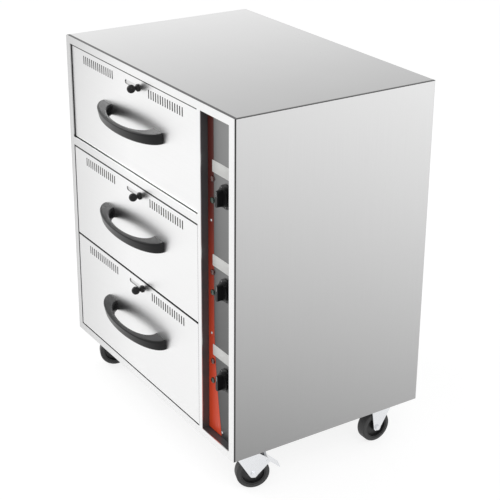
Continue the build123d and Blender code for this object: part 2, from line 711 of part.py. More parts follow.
    # Handle: an elliptical bow that droops towards its crown, its two feet flat on the drawer front
    bow_plane = Plane(
        origin=(OPENING_X + HANDLE_SHIFT, face_y, z1 - HANDLE_DROP[k]),
        x_dir=(1, 0, 0),
        z_dir=(0, -math.sin(TILT), math.cos(TILT)),
    )
    half = HANDLE_SPAN / 2
    with BuildPart() as handle:
        with BuildSketch(bow_plane.offset(-HANDLE_HEIGHT / 2)):
            Ellipse(half, HANDLE_REACH)
            Ellipse(half - HANDLE_FOOT, HANDLE_REACH - HANDLE_BAR, mode=Mode.SUBTRACT)
        extrude(amount=HANDLE_HEIGHT)
        fillet(handle.edges().filter_by(GeomType.ELLIPSE), HANDLE_ROUND)
        split(bisect_by=facing_front(face_y), keep=Keep.TOP)
    save(handle.part, "handle_" + name)

    # Rails: the middle members run half as far as the drawer
    with BuildPart() as mid_rails:
        for side in (-1, 1):
            rail_section(side, z1 - RAIL_DROP, MID_WEB, MID_WEB + RAIL_T, MID_LIP, MID_HALF, RAIL_Y0)
    save(mid_rails.part, "mid_rails_" + name)
    with BuildPart() as inner_rails:
        for side in (-1, 1):
            rail_section(
                side, z1 - RAIL_DROP, RAIL_SPACE, RAIL_SPACE - RAIL_T, INNER_LIP, INNER_HALF, RAIL_Y0,
            )
    save(inner_rails.part, "inner_rails_" + name)

    # Vent slide: a slotted plate behind the front, moved by a ball knob
    with BuildPart() as vent_plate:
        slab(plate_x0, plate_x1, plate_y0, plate_y1, plate_z0, plate_z1)
        with BuildSketch(facing_front(plate_y1)):
            for side in (-1, 1):
                with Locations((OPENING_X + side * VENT_GROUP_OFFSET, vent_z)):
                    with GridLocations(VENT_PITCH, 1, VENT_COUNT, 1):
                        Rectangle(VENT_W, VENT_H)
        extrude(amount=VENT_PLATE_T, mode=Mode.SUBTRACT)
    save(vent_plate.part, "vent_plate_" + name)

    collar_y = face_y - SLIDE_PLAY
    cone_y = collar_y - COLLAR_T - COLLAR_CONE
    ball_y = face_y - BALL_OUT
    neck_y = ball_y + math.sqrt(BALL_D**2 - STEM_D**2) / 2
    with BuildPart() as vent_knob:
        with BuildSketch(Plane(origin=(stem_x, 0, slot_z), x_dir=(1, 0, 0), z_dir=(0, 0, 1))):
            with BuildLine():
                Line((0, plate_y0), (STEM_D / 2, plate_y0))
                Line((STEM_D / 2, plate_y0), (STEM_D / 2, collar_y))
                Line((STEM_D / 2, collar_y), (COLLAR_D / 2, collar_y))
                Line((COLLAR_D / 2, collar_y), (COLLAR_D / 2, collar_y - COLLAR_T))
                Line((COLLAR_D / 2, collar_y - COLLAR_T), (STEM_D / 2, cone_y))
                Line((STEM_D / 2, cone_y), (STEM_D / 2, neck_y))
                ThreePointArc(
                    (STEM_D / 2, neck_y),
                    (BALL_D / 2, ball_y),
                    (0, ball_y - BALL_D / 2),
                )
                Line((0, ball_y - BALL_D / 2), (0, plate_y0))
            make_face()
        revolve(axis=Axis((stem_x, 0, slot_z), (0, 1, 0)))
    save(vent_knob.part, "vent_knob_" + name)

# Caster top plates with their cups and king pins, and the bolts that hold them
CUP_Z = BASE_Z - PLATE_T - CUP_H
CROWN_Z1 = CUP_Z - CROWN_PLAY
CROWN_Z0 = CROWN_Z1 - CROWN_T
with BuildPart() as caster_plates:
    with BuildSketch(Plane.XY.offset(BASE_Z - PLATE_T)):
        with Locations(PLATE_PLACES):
            RectangleRounded(PLATE_SIDE, PLATE_SIDE, PLATE_CORNER)
            with GridLocations(PLATE_BOLT_PITCH, PLATE_BOLT_PITCH, 2, 2):
                Circle(BOLT_D / 2 + BOLT_PLAY, mode=Mode.SUBTRACT)
    extrude(amount=PLATE_T)
    with BuildSketch(Plane.XY.offset(CUP_Z)):
        with Locations(PLATE_PLACES):
            Circle(CUP_D / 2)
    extrude(amount=CUP_H)
    with BuildSketch(Plane.XY.offset(CUP_Z)):
        with Locations(PLATE_PLACES):
            Circle(KINGPIN_D / 2)
    extrude(amount=-(CROWN_T + 2 * CROWN_PLAY))
    with BuildSketch(Plane.XY.offset(CROWN_Z0 - CROWN_PLAY)):
        with Locations(PLATE_PLACES):
            Circle(KINGPIN_HEAD_D / 2)
    extrude(amount=-KINGPIN_HEAD_H)
save(caster_plates.part, "caster_plates")

with BuildPart() as caster_bolts:
    for x, y in PLATE_PLACES:
        with BuildSketch(Plane.XY.offset(BASE_Z - PLATE_T - BOLT_HEAD_H)):
            with Locations((x, y)):
                with GridLocations(PLATE_BOLT_PITCH, PLATE_BOLT_PITCH, 2, 2):
                    RegularPolygon(BOLT_HEAD_D / 2, 6)
        extrude(amount=BOLT_HEAD_H)
        with BuildSketch(Plane.XY.offset(BASE_Z - PLATE_T)):
            with Locations((x, y)):
                with GridLocations(PLATE_BOLT_PITCH, PLATE_BOLT_PITCH, 2, 2):
                    Circle(BOLT_D / 2)
        extrude(amount=PLATE_T + BASE_T)
        with BuildSketch(Plane.XY.offset(BASE_Z + BASE_T)):
            with Locations((x, y)):
                with GridLocations(PLATE_BOLT_PITCH, PLATE_BOLT_PITCH, 2, 2):
                    RegularPolygon(BOLT_HEAD_D / 2, 6)
        extrude(amount=BOLT_HEAD_H)
save(caster_bolts.part, "caster_bolts")

AXLE_Z = WHEEL_D / 2
LEG_IN = HUB_BORE_W / 2 + FORK_SIDE_PLAY
LEG_OUT = LEG_IN + FORK_T
PIN_ALONG = TRAIL + PEDAL_PIN_R * math.cos(math.radians(PEDAL_ANGLE))
PIN_Z = AXLE_Z + PEDAL_PIN_R * math.sin(math.radians(PEDAL_ANGLE))
FORK_FOOT = [
    (TRAIL + FOOT_HALF, AXLE_Z - FOOT_DROP), (TRAIL + TIP_HALF, AXLE_Z - TIP_DROP),
    (TRAIL - TIP_HALF, AXLE_Z - TIP_DROP), (TRAIL - FOOT_HALF, AXLE_Z - FOOT_DROP),
]
PLAIN_LEG = [(-FORK_AHEAD, CROWN_Z0), (TRAIL + FORK_BEHIND, CROWN_Z0)] + FORK_FOOT
BRAKE_LEG = [
    (-FORK_AHEAD, CROWN_Z0), (TRAIL + BRAKE_FORK_BEHIND, CROWN_Z0),
    (PIN_ALONG + EAR_IN, PIN_Z + EAR_RISE), (PIN_ALONG + EAR_OUT, PIN_Z - EAR_DROP),
] + FORK_FOOT
for name, cx, cy, turn in CASTERS:
    braked = name.startswith("front")
    # Local frame of a caster: x runs along the trail, y along the axle
    swivel = Plane(
        origin=(cx, cy, 0),
        x_dir=(math.cos(math.radians(turn)), math.sin(math.radians(turn)), 0),
        z_dir=(0, 0, 1),
    )
    side_plane = Plane(origin=swivel.origin, x_dir=swivel.x_dir, z_dir=-swivel.y_dir)
    with BuildPart() as fork:
        with BuildSketch(swivel.offset(CROWN_Z0)):
            Circle(CROWN_D / 2)
            with Locations((TRAIL / 2, 0)):
                Rectangle(TRAIL + CROWN_REACH, 2 * LEG_OUT)
            Circle(KINGPIN_D / 2 + PIN_PLAY, mode=Mode.SUBTRACT)
        extrude(amount=CROWN_T)
        for side in (-1, 1):
            leg_y = LEG_OUT if side > 0 else -LEG_IN
            with BuildSketch(side_plane.offset(-leg_y)):
                with BuildLine():
                    Polyline(*(BRAKE_LEG if braked else PLAIN_LEG), close=True)
                make_face()
                with Locations((TRAIL, AXLE_Z)):
                    Circle(AXLE_D / 2, mode=Mode.SUBTRACT)
                if braked:
                    with Locations((PIN_ALONG, PIN_Z)):
                        Circle(PEDAL_PIN_D / 2 + PIN_PLAY, mode=Mode.SUBTRACT)
            extrude(amount=FORK_T)
    with BuildPart() as axle:
        with BuildSketch(side_plane.offset(-LEG_OUT)):
            with Locations((TRAIL, AXLE_Z)):
                Circle(AXLE_D / 2)
        extrude(amount=2 * LEG_OUT)
        for start in (-LEG_OUT - AXLE_HEAD_H, LEG_OUT):
            with BuildSketch(side_plane.offset(start)):
                with Locations((TRAIL, AXLE_Z)):
                    RegularPolygon(AXLE_HEAD_D / 2, 6)
            extrude(amount=AXLE_HEAD_H)
    save(Compound(children=[fork.part, axle.part]), "fork_" + name)

    with BuildPart() as tyre:
        with BuildSketch(side_plane.offset(-WHEEL_W / 2)):
            with Locations((TRAIL, AXLE_Z)):
                Circle(WHEEL_D / 2)
                Circle(WHEEL_D / 2 - TYRE_T, mode=Mode.SUBTRACT)
        extrude(amount=WHEEL_W)
        rims = tyre.edges().filter_by(GeomType.CIRCLE).group_by(lambda e: round(e.radius, 1))[-1]
        fillet(rims, TYRE_ROUND)
    save(tyre.part, "tyre_" + name)

    rim_half = WHEEL_W / 2 - HUB_RIM_INSET
    with BuildPart() as hub:
        with BuildSketch(side_plane.offset(-HUB_WEB_W / 2)):
            with Locations((TRAIL, AXLE_Z)):
                Circle(WHEEL_D / 2 - TYRE_T)
        extrude(amount=HUB_WEB_W)
        with BuildSketch(side_plane.offset(-rim_half)):
            with Locations((TRAIL, AXLE_Z)):
                Circle(WHEEL_D / 2 - TYRE_T)
                Circle(WHEEL_D / 2 - TYRE_T - HUB_RIM_T, mode=Mode.SUBTRACT)
        extrude(amount=2 * rim_half)
        with BuildSketch(side_plane.offset(-HUB_BORE_W / 2)):
            with Locations((TRAIL, AXLE_Z)):
                Circle(HUB_BOSS_D / 2)
        extrude(amount=HUB_BORE_W)
        with BuildSketch(side_plane.offset(-HUB_BORE_W / 2)):
            with Locations((TRAIL, AXLE_Z)):
                Circle(AXLE_D / 2 + PIN_PLAY)
        extrude(amount=HUB_BORE_W, mode=Mode.SUBTRACT)
    save(hub.part, "hub_" + name)

    if braked:
        with BuildPart() as pedal:
            with BuildSketch(side_plane.offset(-LEG_OUT - PIN_END)):
                with Locations((PIN_ALONG, PIN_Z)):
                    Circle(PEDAL_PIN_D / 2)
            extrude(amount=2 * (LEG_OUT + PIN_END))
            with BuildSketch(side_plane.offset(-PEDAL_W / 2)):
                with Locations((PIN_ALONG, PIN_Z)):
                    Circle(PEDAL_PIN_D / 2 + PEDAL_EYE)
                with BuildLine():
                    Polyline(
                        (PIN_ALONG - PEDAL_PIN_D / 2 - PEDAL_EYE, PIN_Z),
                        (
                            PIN_ALONG + PEDAL_LUG_R * math.cos(math.radians(PEDAL_LUG_ANGLE)),
                            PIN_Z + PEDAL_LUG_R * math.sin(math.radians(PEDAL_LUG_ANGLE)),
                        ),
                        (PIN_ALONG + PEDAL_PIN_D / 2 + PEDAL_EYE, PIN_Z),
                        close=True,
                    )
                make_face()
                with BuildLine():
                    Polyline(
                        (PIN_ALONG, PIN_Z + PEDAL_T + PEDAL_LIFT),
                        (PIN_ALONG + PEDAL_REACH, PIN_Z - PEDAL_DROP + PEDAL_T),
                        (PIN_ALONG + PEDAL_REACH, PIN_Z - PEDAL_DROP),
                        (PIN_ALONG, PIN_Z - PEDAL_LIFT),
                        close=True,
                    )
                make_face()
            extrude(amount=PEDAL_W)
        save(pedal.part, "brake_pedal_" + name)
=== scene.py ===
"""Three-drawer food warmer: finishes, small pieces, studio and camera."""

import math

import bpy
from mathutils import Matrix, Vector


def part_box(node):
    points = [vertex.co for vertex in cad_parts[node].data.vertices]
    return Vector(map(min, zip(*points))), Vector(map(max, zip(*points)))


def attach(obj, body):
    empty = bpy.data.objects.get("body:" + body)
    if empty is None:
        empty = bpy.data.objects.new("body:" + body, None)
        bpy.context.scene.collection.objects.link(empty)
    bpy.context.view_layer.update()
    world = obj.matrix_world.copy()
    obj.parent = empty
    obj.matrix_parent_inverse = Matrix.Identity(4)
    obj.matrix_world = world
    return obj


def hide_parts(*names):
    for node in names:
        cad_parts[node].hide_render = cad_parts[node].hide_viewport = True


bl_info = {
    "name": "Drawer warmer dressing",
    "version": (1, 0, 0),
    "blender": (4, 5, 0),
    "location": "View3D > Sidebar > Warmer",
    "description": "Finishes and small pieces of a three-drawer food warmer",
    "category": "Object",
}

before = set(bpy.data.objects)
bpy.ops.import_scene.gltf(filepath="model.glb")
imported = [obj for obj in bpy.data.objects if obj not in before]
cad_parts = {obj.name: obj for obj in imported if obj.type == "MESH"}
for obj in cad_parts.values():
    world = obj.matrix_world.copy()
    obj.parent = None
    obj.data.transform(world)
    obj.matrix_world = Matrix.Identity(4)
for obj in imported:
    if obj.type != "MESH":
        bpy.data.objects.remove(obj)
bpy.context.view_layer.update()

LEVELS = ("upper", "middle", "lower")
CABINET_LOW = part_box("front_frame")[0]
CABINET_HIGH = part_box("top_panel")[1]
FASCIA_LOW, FASCIA_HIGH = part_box("control_fascia")
MILLIMETRE = 0.001
FRAME_SHEET = 2 * MILLIMETRE
DRAWER_SKIN = 1.2 * MILLIMETRE
TOP_SHADE = 2.2 * MILLIMETRE
PANEL_SHADE = 0.5 * MILLIMETRE
EDGE_SHADE = 6 * MILLIMETRE
EDGE_TURN = 0.6
SLIDE_REACH = 46 * MILLIMETRE
SKIRT_FRONT = 3.4 * MILLIMETRE
PRINT_SUNK = 0.02 * MILLIMETRE
# Painted shade on the accent band: darkest at the first height above the fascia's foot,
# brightest at the second.
BAND_SHADE_AT = 550 * MILLIMETRE
BAND_BRIGHT_AT = 100 * MILLIMETRE
X_AXIS = (1.0, 0.0, 0.0)
Y_AXIS = (0.0, 1.0, 0.0)
Z_AXIS = (0.0, 0.0, 1.0)
SMOOTH_ANGLE = math.radians(35)


class StageSettings(bpy.types.PropertyGroup):
    """Camera, lamps and background."""

    lens: bpy.props.FloatProperty(
        name="Lens", description="Focal length on a 36 mm sensor", default=93.4, min=1)
    shift: bpy.props.FloatVectorProperty(
        name="Shift", description="Camera shift, as parts of the picture", size=2,
        default=(-0.0168, -0.0952))
    place: bpy.props.FloatVectorProperty(
        name="Camera place", description="Where the camera stands", size=3,
        default=(2.3592, -1.4877, 1.6479), subtype="XYZ", unit="LENGTH")
    azimuth: bpy.props.FloatProperty(
        name="Azimuth", description="Turn of the camera round the warmer",
        default=math.radians(56.65), subtype="ANGLE", unit="ROTATION")
    elevation: bpy.props.FloatProperty(
        name="Elevation", description="How far the camera looks down",
        default=math.radians(22.01), subtype="ANGLE", unit="ROTATION")
    roll: bpy.props.FloatProperty(
        name="Roll", description="Turn of the camera about its own line of sight",
        default=math.radians(0.56), subtype="ANGLE", unit="ROTATION")
    key_power: bpy.props.FloatProperty(
        name="Key lamp", description="Power of the lamp at the left", default=26.0,
        min=0, unit="POWER")
    fill_power: bpy.props.FloatProperty(
        name="Fill lamp", description="Power of the lamp at the right", default=16.0,
        min=0, unit="POWER")
    sky_level: bpy.props.FloatProperty(
        name="Sky level", description="Strength of the even light from all round",
        default=0.62, min=0)
    floor_glow: bpy.props.FloatProperty(
        name="Floor glow", description="Part of the white floor that shadow can't darken",
        default=0.8, min=0, max=1)


class SheetSettings(bpy.types.PropertyGroup):
    """Tones of the brushed sheet, as grey levels of linear light; each pair is painted light and
    shade, one end lighter than the other, and the dark edge lines are painted shade.
    """

    # Painted light and shade: each pair makes one end of a sheet lighter than the other,
    # standing in for soft reflections.
    face_shading_tones: bpy.props.FloatVectorProperty(
        name="Drawer faces", description="Tone at the left and at the right", size=2,
        default=(0.68, 0.87), min=0, max=1)
    frame_shading_tones: bpy.props.FloatVectorProperty(
        name="Face frame", description="Tone at the left and at the right", size=2,
        default=(0.60, 0.86), min=0, max=1)
    side_shading_tones: bpy.props.FloatVectorProperty(
        name="Side panels", description="Tone at the foot and at the top", size=2,
        default=(0.30, 0.82), min=0, max=1)
    top_shading_tones: bpy.props.FloatVectorProperty(
        name="Top panel", description="Tone at the left and at the right", size=2,
        default=(0.76, 0.46), min=0, max=1)
    # Painted shade: tone and width of the dark lines in the gaps along the sheet's edges.
    stripe_tone: bpy.props.FloatProperty(
        name="Seams", description="Tone of the dark folded edges", default=0.05,
        min=0, max=1)
    shade_line_width: bpy.props.FloatProperty(
        name="Seam width", description="Width of the dark folded edges",
        default=3.6 * MILLIMETRE, min=0, subtype="DISTANCE", unit="LENGTH")


class FasciaSettings(bpy.types.PropertyGroup):
    """Bare plates and accent band on the control column."""

    plate_width: bpy.props.FloatProperty(
        name="Plate width", description="Width of a bare white plate",
        default=82 * MILLIMETRE, min=0, subtype="DISTANCE", unit="LENGTH")
    plate_height: bpy.props.FloatProperty(
        name="Plate height", description="Height of a bare white plate",
        default=26 * MILLIMETRE, min=0, subtype="DISTANCE", unit="LENGTH")
    plate_thickness: bpy.props.FloatProperty(
        name="Plate thickness", description="How far a plate stands off the fascia",
        default=0.8 * MILLIMETRE, min=0, subtype="DISTANCE", unit="LENGTH")
    plate_left: bpy.props.FloatProperty(
        name="Plate left edge", description="From the fascia's left edge",
        default=17.5 * MILLIMETRE, min=0, subtype="DISTANCE", unit="LENGTH")
    plate_rise: bpy.props.FloatProperty(
        name="Plate rise", description="Plate centre above the knob's centre",
        default=50 * MILLIMETRE, min=0, subtype="DISTANCE", unit="LENGTH")
    band_width: bpy.props.FloatProperty(
        name="Band width", description="Width of the accent band's straight part",
        default=22 * MILLIMETRE, min=0, subtype="DISTANCE", unit="LENGTH")
    band_foot: bpy.props.FloatProperty(
        name="Band foot", description="Width of the accent band at its foot",
        default=51 * MILLIMETRE, min=0, subtype="DISTANCE", unit="LENGTH")
    band_flare: bpy.props.FloatProperty(
        name="Band flare", description="Height of the part that widens",
        default=260 * MILLIMETRE, min=0, subtype="DISTANCE", unit="LENGTH")
    # Painted shade: the band's print colour darkened at its top.
    band_shaded_top_colour: bpy.props.FloatVectorProperty(
        name="Band, top", description="Colour of the band at its top", size=3,
        default=(0.10, 0.010, 0.005), subtype="COLOR", min=0, max=1)
    band_foot_colour: bpy.props.FloatVectorProperty(
        name="Band, foot", description="Colour of the band at its foot", size=3,
        default=(0.90, 0.075, 0.018), subtype="COLOR", min=0, max=1)


class DialSettings(bpy.types.PropertyGroup):
    """Marks on the thermostat knobs."""

    first_number: bpy.props.IntProperty(
        name="First number", description="Lowest number on the dial", default=30)
    last_number: bpy.props.IntProperty(
        name="Last number", description="Highest number on the dial", default=90)
    number_step: bpy.props.IntProperty(
        name="Step", description="From one number to the next", default=10, min=1)
    number_height: bpy.props.FloatProperty(
        name="Number height", description="Size of the printed numbers",
        default=3.6 * MILLIMETRE, min=0, subtype="DISTANCE", unit="LENGTH")
    sweep: bpy.props.FloatProperty(
        name="Sweep", description="Turn between the first and the last number",
        default=math.radians(270), subtype="ANGLE", unit="ROTATION")


class ScrewSettings(bpy.types.PropertyGroup):
    """Cross-recessed screws."""

    head_diameter: bpy.props.FloatProperty(
        name="Head", description="Diameter of a screw head",
        default=6.0 * MILLIMETRE, min=0, subtype="DISTANCE", unit="LENGTH")
    head_height: bpy.props.FloatProperty(
        name="Head height", description="How far a head stands off the sheet",
        default=1.8 * MILLIMETRE, min=0, subtype="DISTANCE", unit="LENGTH")
    edge_inset: bpy.props.FloatProperty(
        name="Edge inset", description="Rear screws' distance from the panel's edge",
        default=7.5 * MILLIMETRE, min=0, subtype="DISTANCE", unit="LENGTH")


def deselect_all():
    active = bpy.context.view_layer.objects.active
    if active and active.mode != "OBJECT":
        bpy.ops.object.mode_set(mode="OBJECT")
    bpy.ops.object.select_all(action="DESELECT")


def select_only(*objects):
    deselect_all()
    for obj in objects:
        obj.select_set(True)
    bpy.context.view_layer.objects.active = objects[0]


def edit_edges(obj, wanted):
    """Enters edit mode with the edges selected for which wanted(start, end) is true."""
    select_only(obj)
    bpy.ops.object.mode_set(mode="EDIT")
    bpy.ops.mesh.select_mode(type="EDGE")
    bpy.ops.mesh.select_all(action="DESELECT")
    bpy.ops.object.mode_set(mode="OBJECT")
    vertices = obj.data.vertices
    for edge in obj.data.edges:
        edge.select = wanted(vertices[edge.vertices[0]].co, vertices[edge.vertices[1]].co)
    bpy.ops.object.mode_set(mode="EDIT")


def bevel_edges(obj, wanted, width, segments):
    edit_edges(obj, wanted)
    bpy.ops.mesh.bevel(offset=width, segments=segments, profile=0.5)
    bpy.ops.object.mode_set(mode="OBJECT")


def settle(obj):
    """Moves an object's place, turn and size into its mesh."""
    select_only(obj)
    bpy.ops.object.transform_apply(location=True, rotation=True, scale=True)


def smooth(obj):
    select_only(obj)
    bpy.ops.object.shade_smooth_by_angle(angle=SMOOTH_ANGLE)


def copied(obj, matrix):
    """A copy of a settled piece with its own mesh, moved by matrix."""
    twin = obj.copy()
    twin.data = obj.data.copy()
    bpy.context.scene.collection.objects.link(twin)
    twin.data.transform(matrix)
    return twin


def joined(pieces, name):
    select_only(*pieces)
    if len(pieces) > 1:
        bpy.ops.object.join()
    whole = bpy.context.view_layer.objects.active
    whole.name = name
    whole.data.name = name
    return whole


def dress(obj, body, material, replaced=()):
    """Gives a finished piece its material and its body."""
    obj.data.materials.clear()
    obj.data.materials.append(material)
    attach(obj, body)
    if replaced:
        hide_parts(*replaced)


def rounded_plate(name, size, corner, rim):
    """A thin plate facing -Y, centred at the origin, with round corners and an eased rim."""
    deselect_all()
    bpy.ops.mesh.primitive_cube_add(size=1)
    plate = bpy.context.object
    plate.name = name
    plate.scale = size
    settle(plate)
    bevel_edges(plate, lambda a, b: abs(a.y - b.y) > size[1] / 2, corner, 6)
    front = -size[1] / 2
    near = size[1] / 10
    bevel_edges(
        plate, lambda a, b: abs(a.y - front) < near and abs(b.y - front) < near, rim, 2)
    return plate


def grey(level):
    return (level, level, level, 1.0)


def new_group(name, inputs, outputs):
    """An empty node group with its sockets. Each socket is (name, type, default)."""
    group = bpy.data.node_groups.new(name, "ShaderNodeTree")
    for label, kind, value in inputs:
        socket = group.interface.new_socket(label, in_out="INPUT", socket_type=kind)
        if value is not None:
            socket.default_value = value
    for label, kind in outputs:
        group.interface.new_socket(label, in_out="OUTPUT", socket_type=kind)
    source = group.nodes.new("NodeGroupInput")
    target = group.nodes.new("NodeGroupOutput")
    return group, source, target


def math_node(tree, operation, first, second=None, clamp=False):
    node = tree.nodes.new("ShaderNodeMath")
    node.operation = operation
    node.use_clamp = clamp
    for socket, value in zip(node.inputs, (first, second)):
        if value is None:
            continue
        if isinstance(value, (int, float)):
            socket.default_value = value
        else:
            tree.links.new(value, socket)
    return node.outputs[0]


def place_node(tree):
    return tree.nodes.new("ShaderNodeTexCoord").outputs["Object"]


def noise_node(tree, vector, scale, detail, roughness=0.5):
    node = tree.nodes.new("ShaderNodeTexNoise")
    tree.links.new(vector, node.inputs["Vector"])
    if isinstance(scale, (int, float)):
        node.inputs["Scale"].default_value = scale
    else:
        tree.links.new(scale, node.inputs["Scale"])
    node.inputs["Detail"].default_value = detail
    node.inputs["Roughness"].default_value = roughness
    return node.outputs["Fac"]


def build_brushing():
    """Fine parallel scratches: Stretch is the scale along each axis."""
    group, source, target = new_group(
        "brushed_lines",
        (("Stretch", "NodeSocketVector", (400.0, 400.0, 8.0)),
         ("Contrast", "NodeSocketFloat", 0.06),
         ("Roughness", "NodeSocketFloat", 0.3)),
        (("Tone", "NodeSocketFloat"), ("Roughness", "NodeSocketFloat"),
         ("Height", "NodeSocketFloat")))
    stretched = group.nodes.new("ShaderNodeVectorMath")
    stretched.operation = "MULTIPLY"
    group.links.new(place_node(group), stretched.inputs[0])
    group.links.new(source.outputs["Stretch"], stretched.inputs[1])
    lines = noise_node(group, stretched.outputs[0], 1.0, 3.0, 0.6)
    centred = math_node(group, "SUBTRACT", lines, 0.5)
    swing = math_node(group, "MULTIPLY", centred, source.outputs["Contrast"])
    tone = math_node(group, "ADD", swing, 1.0)
    rough = math_node(group, "ADD", swing, source.outputs["Roughness"])
    group.links.new(tone, target.inputs["Tone"])
    group.links.new(rough, target.inputs["Roughness"])
    group.links.new(lines, target.inputs["Height"])
    return group


def build_smudges():
    """Wide faint patches left by wiping and handling."""
    group, source, target = new_group(
        "wiped_patches",
        (("Scale", "NodeSocketFloat", 9.0), ("Amount", "NodeSocketFloat", 0.05)),
        (("Change", "NodeSocketFloat"),))
    patches = noise_node(group, place_node(group), source.outputs["Scale"], 2.0)
    centred = math_node(group, "SUBTRACT", patches, 0.5)
    change = math_node(group, "MULTIPLY", centred, source.outputs["Amount"])
    group.links.new(change, target.inputs["Change"])
    return group


# Painted light and shade: this run makes the sheets' lighter and darker ends and the accent
# band's shaded top.
def build_shading_run():
    """A colour that runs from Low to High between two places along Direction."""
    group, source, target = new_group(
        "shading_run",
        (("Direction", "NodeSocketVector", X_AXIS),
         ("Start", "NodeSocketFloat", 0.0), ("End", "NodeSocketFloat", 1.0),
         ("Low", "NodeSocketColor", grey(0.5)), ("High", "NodeSocketColor", grey(0.8))),
        (("Color", "NodeSocketColor"),))
    along = group.nodes.new("ShaderNodeVectorMath")
    along.operation = "DOT_PRODUCT"
    group.links.new(place_node(group), along.inputs[0])
    group.links.new(source.outputs["Direction"], along.inputs[1])
    share = group.nodes.new("ShaderNodeMapRange")
    share.interpolation_type = "LINEAR"
    group.links.new(along.outputs["Value"], share.inputs["Value"])
    group.links.new(source.outputs["Start"], share.inputs["From Min"])
    group.links.new(source.outputs["End"], share.inputs["From Max"])
    mix = group.nodes.new("ShaderNodeMixRGB")
    group.links.new(share.outputs["Result"], mix.inputs["Fac"])
    group.links.new(source.outputs["Low"], mix.inputs["Color1"])
    group.links.new(source.outputs["High"], mix.inputs["Color2"])
    group.links.new(mix.outputs["Color"], target.inputs["Color"])
    return group


def build_stripe_mask():
    """A mask that is 1 at Place along Direction and falls to 0 at Width from it; it lays painted
    shade lines along edges and gaps, and one pale stripe.
    """
    group, source, target = new_group(
        "stripe_mask",
        (("Direction", "NodeSocketVector", X_AXIS), ("Place", "NodeSocketFloat", 0.0),
         ("Width", "NodeSocketFloat", 0.002)),
        (("Mask", "NodeSocketFloat"),))
    along = group.nodes.new("ShaderNodeVectorMath")
    along.operation = "DOT_PRODUCT"
    group.links.new(place_node(group), along.inputs[0])
    group.links.new(source.outputs["Direction"], along.inputs[1])
    offset = math_node(group, "SUBTRACT", along.outputs["Value"], source.outputs["Place"])
    distance = math_node(group, "ABSOLUTE", offset)
    share = math_node(group, "DIVIDE", distance, source.outputs["Width"])
    steep = math_node(group, "MULTIPLY", math_node(group, "SUBTRACT", 1.15, share), 6.0, True)
    group.links.new(steep, target.inputs["Mask"])
    return group


def build_facing():
    """How far a surface faces Direction or its opposite: 1 straight on, 0 at a right angle."""
    group, source, target = new_group(
        "facing", (("Direction", "NodeSocketVector", Y_AXIS),),
        (("Either Side", "NodeSocketFloat"),))
    along = group.nodes.new("ShaderNodeVectorMath")
    along.operation = "DOT_PRODUCT"
    group.links.new(group.nodes.new("ShaderNodeNewGeometry").outputs["Normal"],
                    along.inputs[0])
    group.links.new(source.outputs["Direction"], along.inputs[1])
    either = math_node(group, "ABSOLUTE", along.outputs["Value"])
    group.links.new(either, target.inputs["Either Side"])
    return group


def build_grit():
    """Fine even grain of moulded plastic, paint, rubber or plating."""
    group, source, target = new_group(
        "fine_grit",
        (("Scale", "NodeSocketFloat", 1500.0), ("Contrast", "NodeSocketFloat", 0.1),
         ("Roughness", "NodeSocketFloat", 0.4)),
        (("Tone", "NodeSocketFloat"), ("Roughness", "NodeSocketFloat"),
         ("Height", "NodeSocketFloat")))
    grain = noise_node(group, place_node(group), source.outputs["Scale"], 3.0, 0.6)
    centred = math_node(group, "SUBTRACT", grain, 0.5)
    swing = math_node(group, "MULTIPLY", centred, source.outputs["Contrast"])
    tone = math_node(group, "ADD", swing, 1.0)
    rough = math_node(group, "ADD", swing, source.outputs["Roughness"])
    group.links.new(tone, target.inputs["Tone"])
    group.links.new(rough, target.inputs["Roughness"])
    group.links.new(grain, target.inputs["Height"])
    return group


def group_node(tree, group, **values):
    node = tree.nodes.new("ShaderNodeGroup")
    node.node_tree = group
    for label, value in values.items():
        node.inputs[label].default_value = value
    return node


def mix_colours(tree, kind, factor, first, second):
    node = tree.nodes.new("ShaderNodeMixRGB")
    node.blend_type = kind
    for socket, value in zip(node.inputs, (factor, first, second)):
        if isinstance(value, (int, float, tuple)):
            socket.default_value = value
        else:
            tree.links.new(value, socket)
    return node.outputs["Color"]


def new_finish(name, metallic=0.0):
    material = bpy.data.materials.new(name)
    material.use_nodes = True
    shader = material.node_tree.nodes["Principled BSDF"]
    shader.inputs["Metallic"].default_value = metallic
    return material, material.node_tree, shader


def add_bump(tree, shader, height, distance, strength=0.5):
    bump = tree.nodes.new("ShaderNodeBump")
    bump.inputs["Distance"].default_value = distance
    bump.inputs["Strength"].default_value = strength
    tree.links.new(height, bump.inputs["Height"])
    tree.links.new(bump.outputs["Normal"], shader.inputs["Normal"])


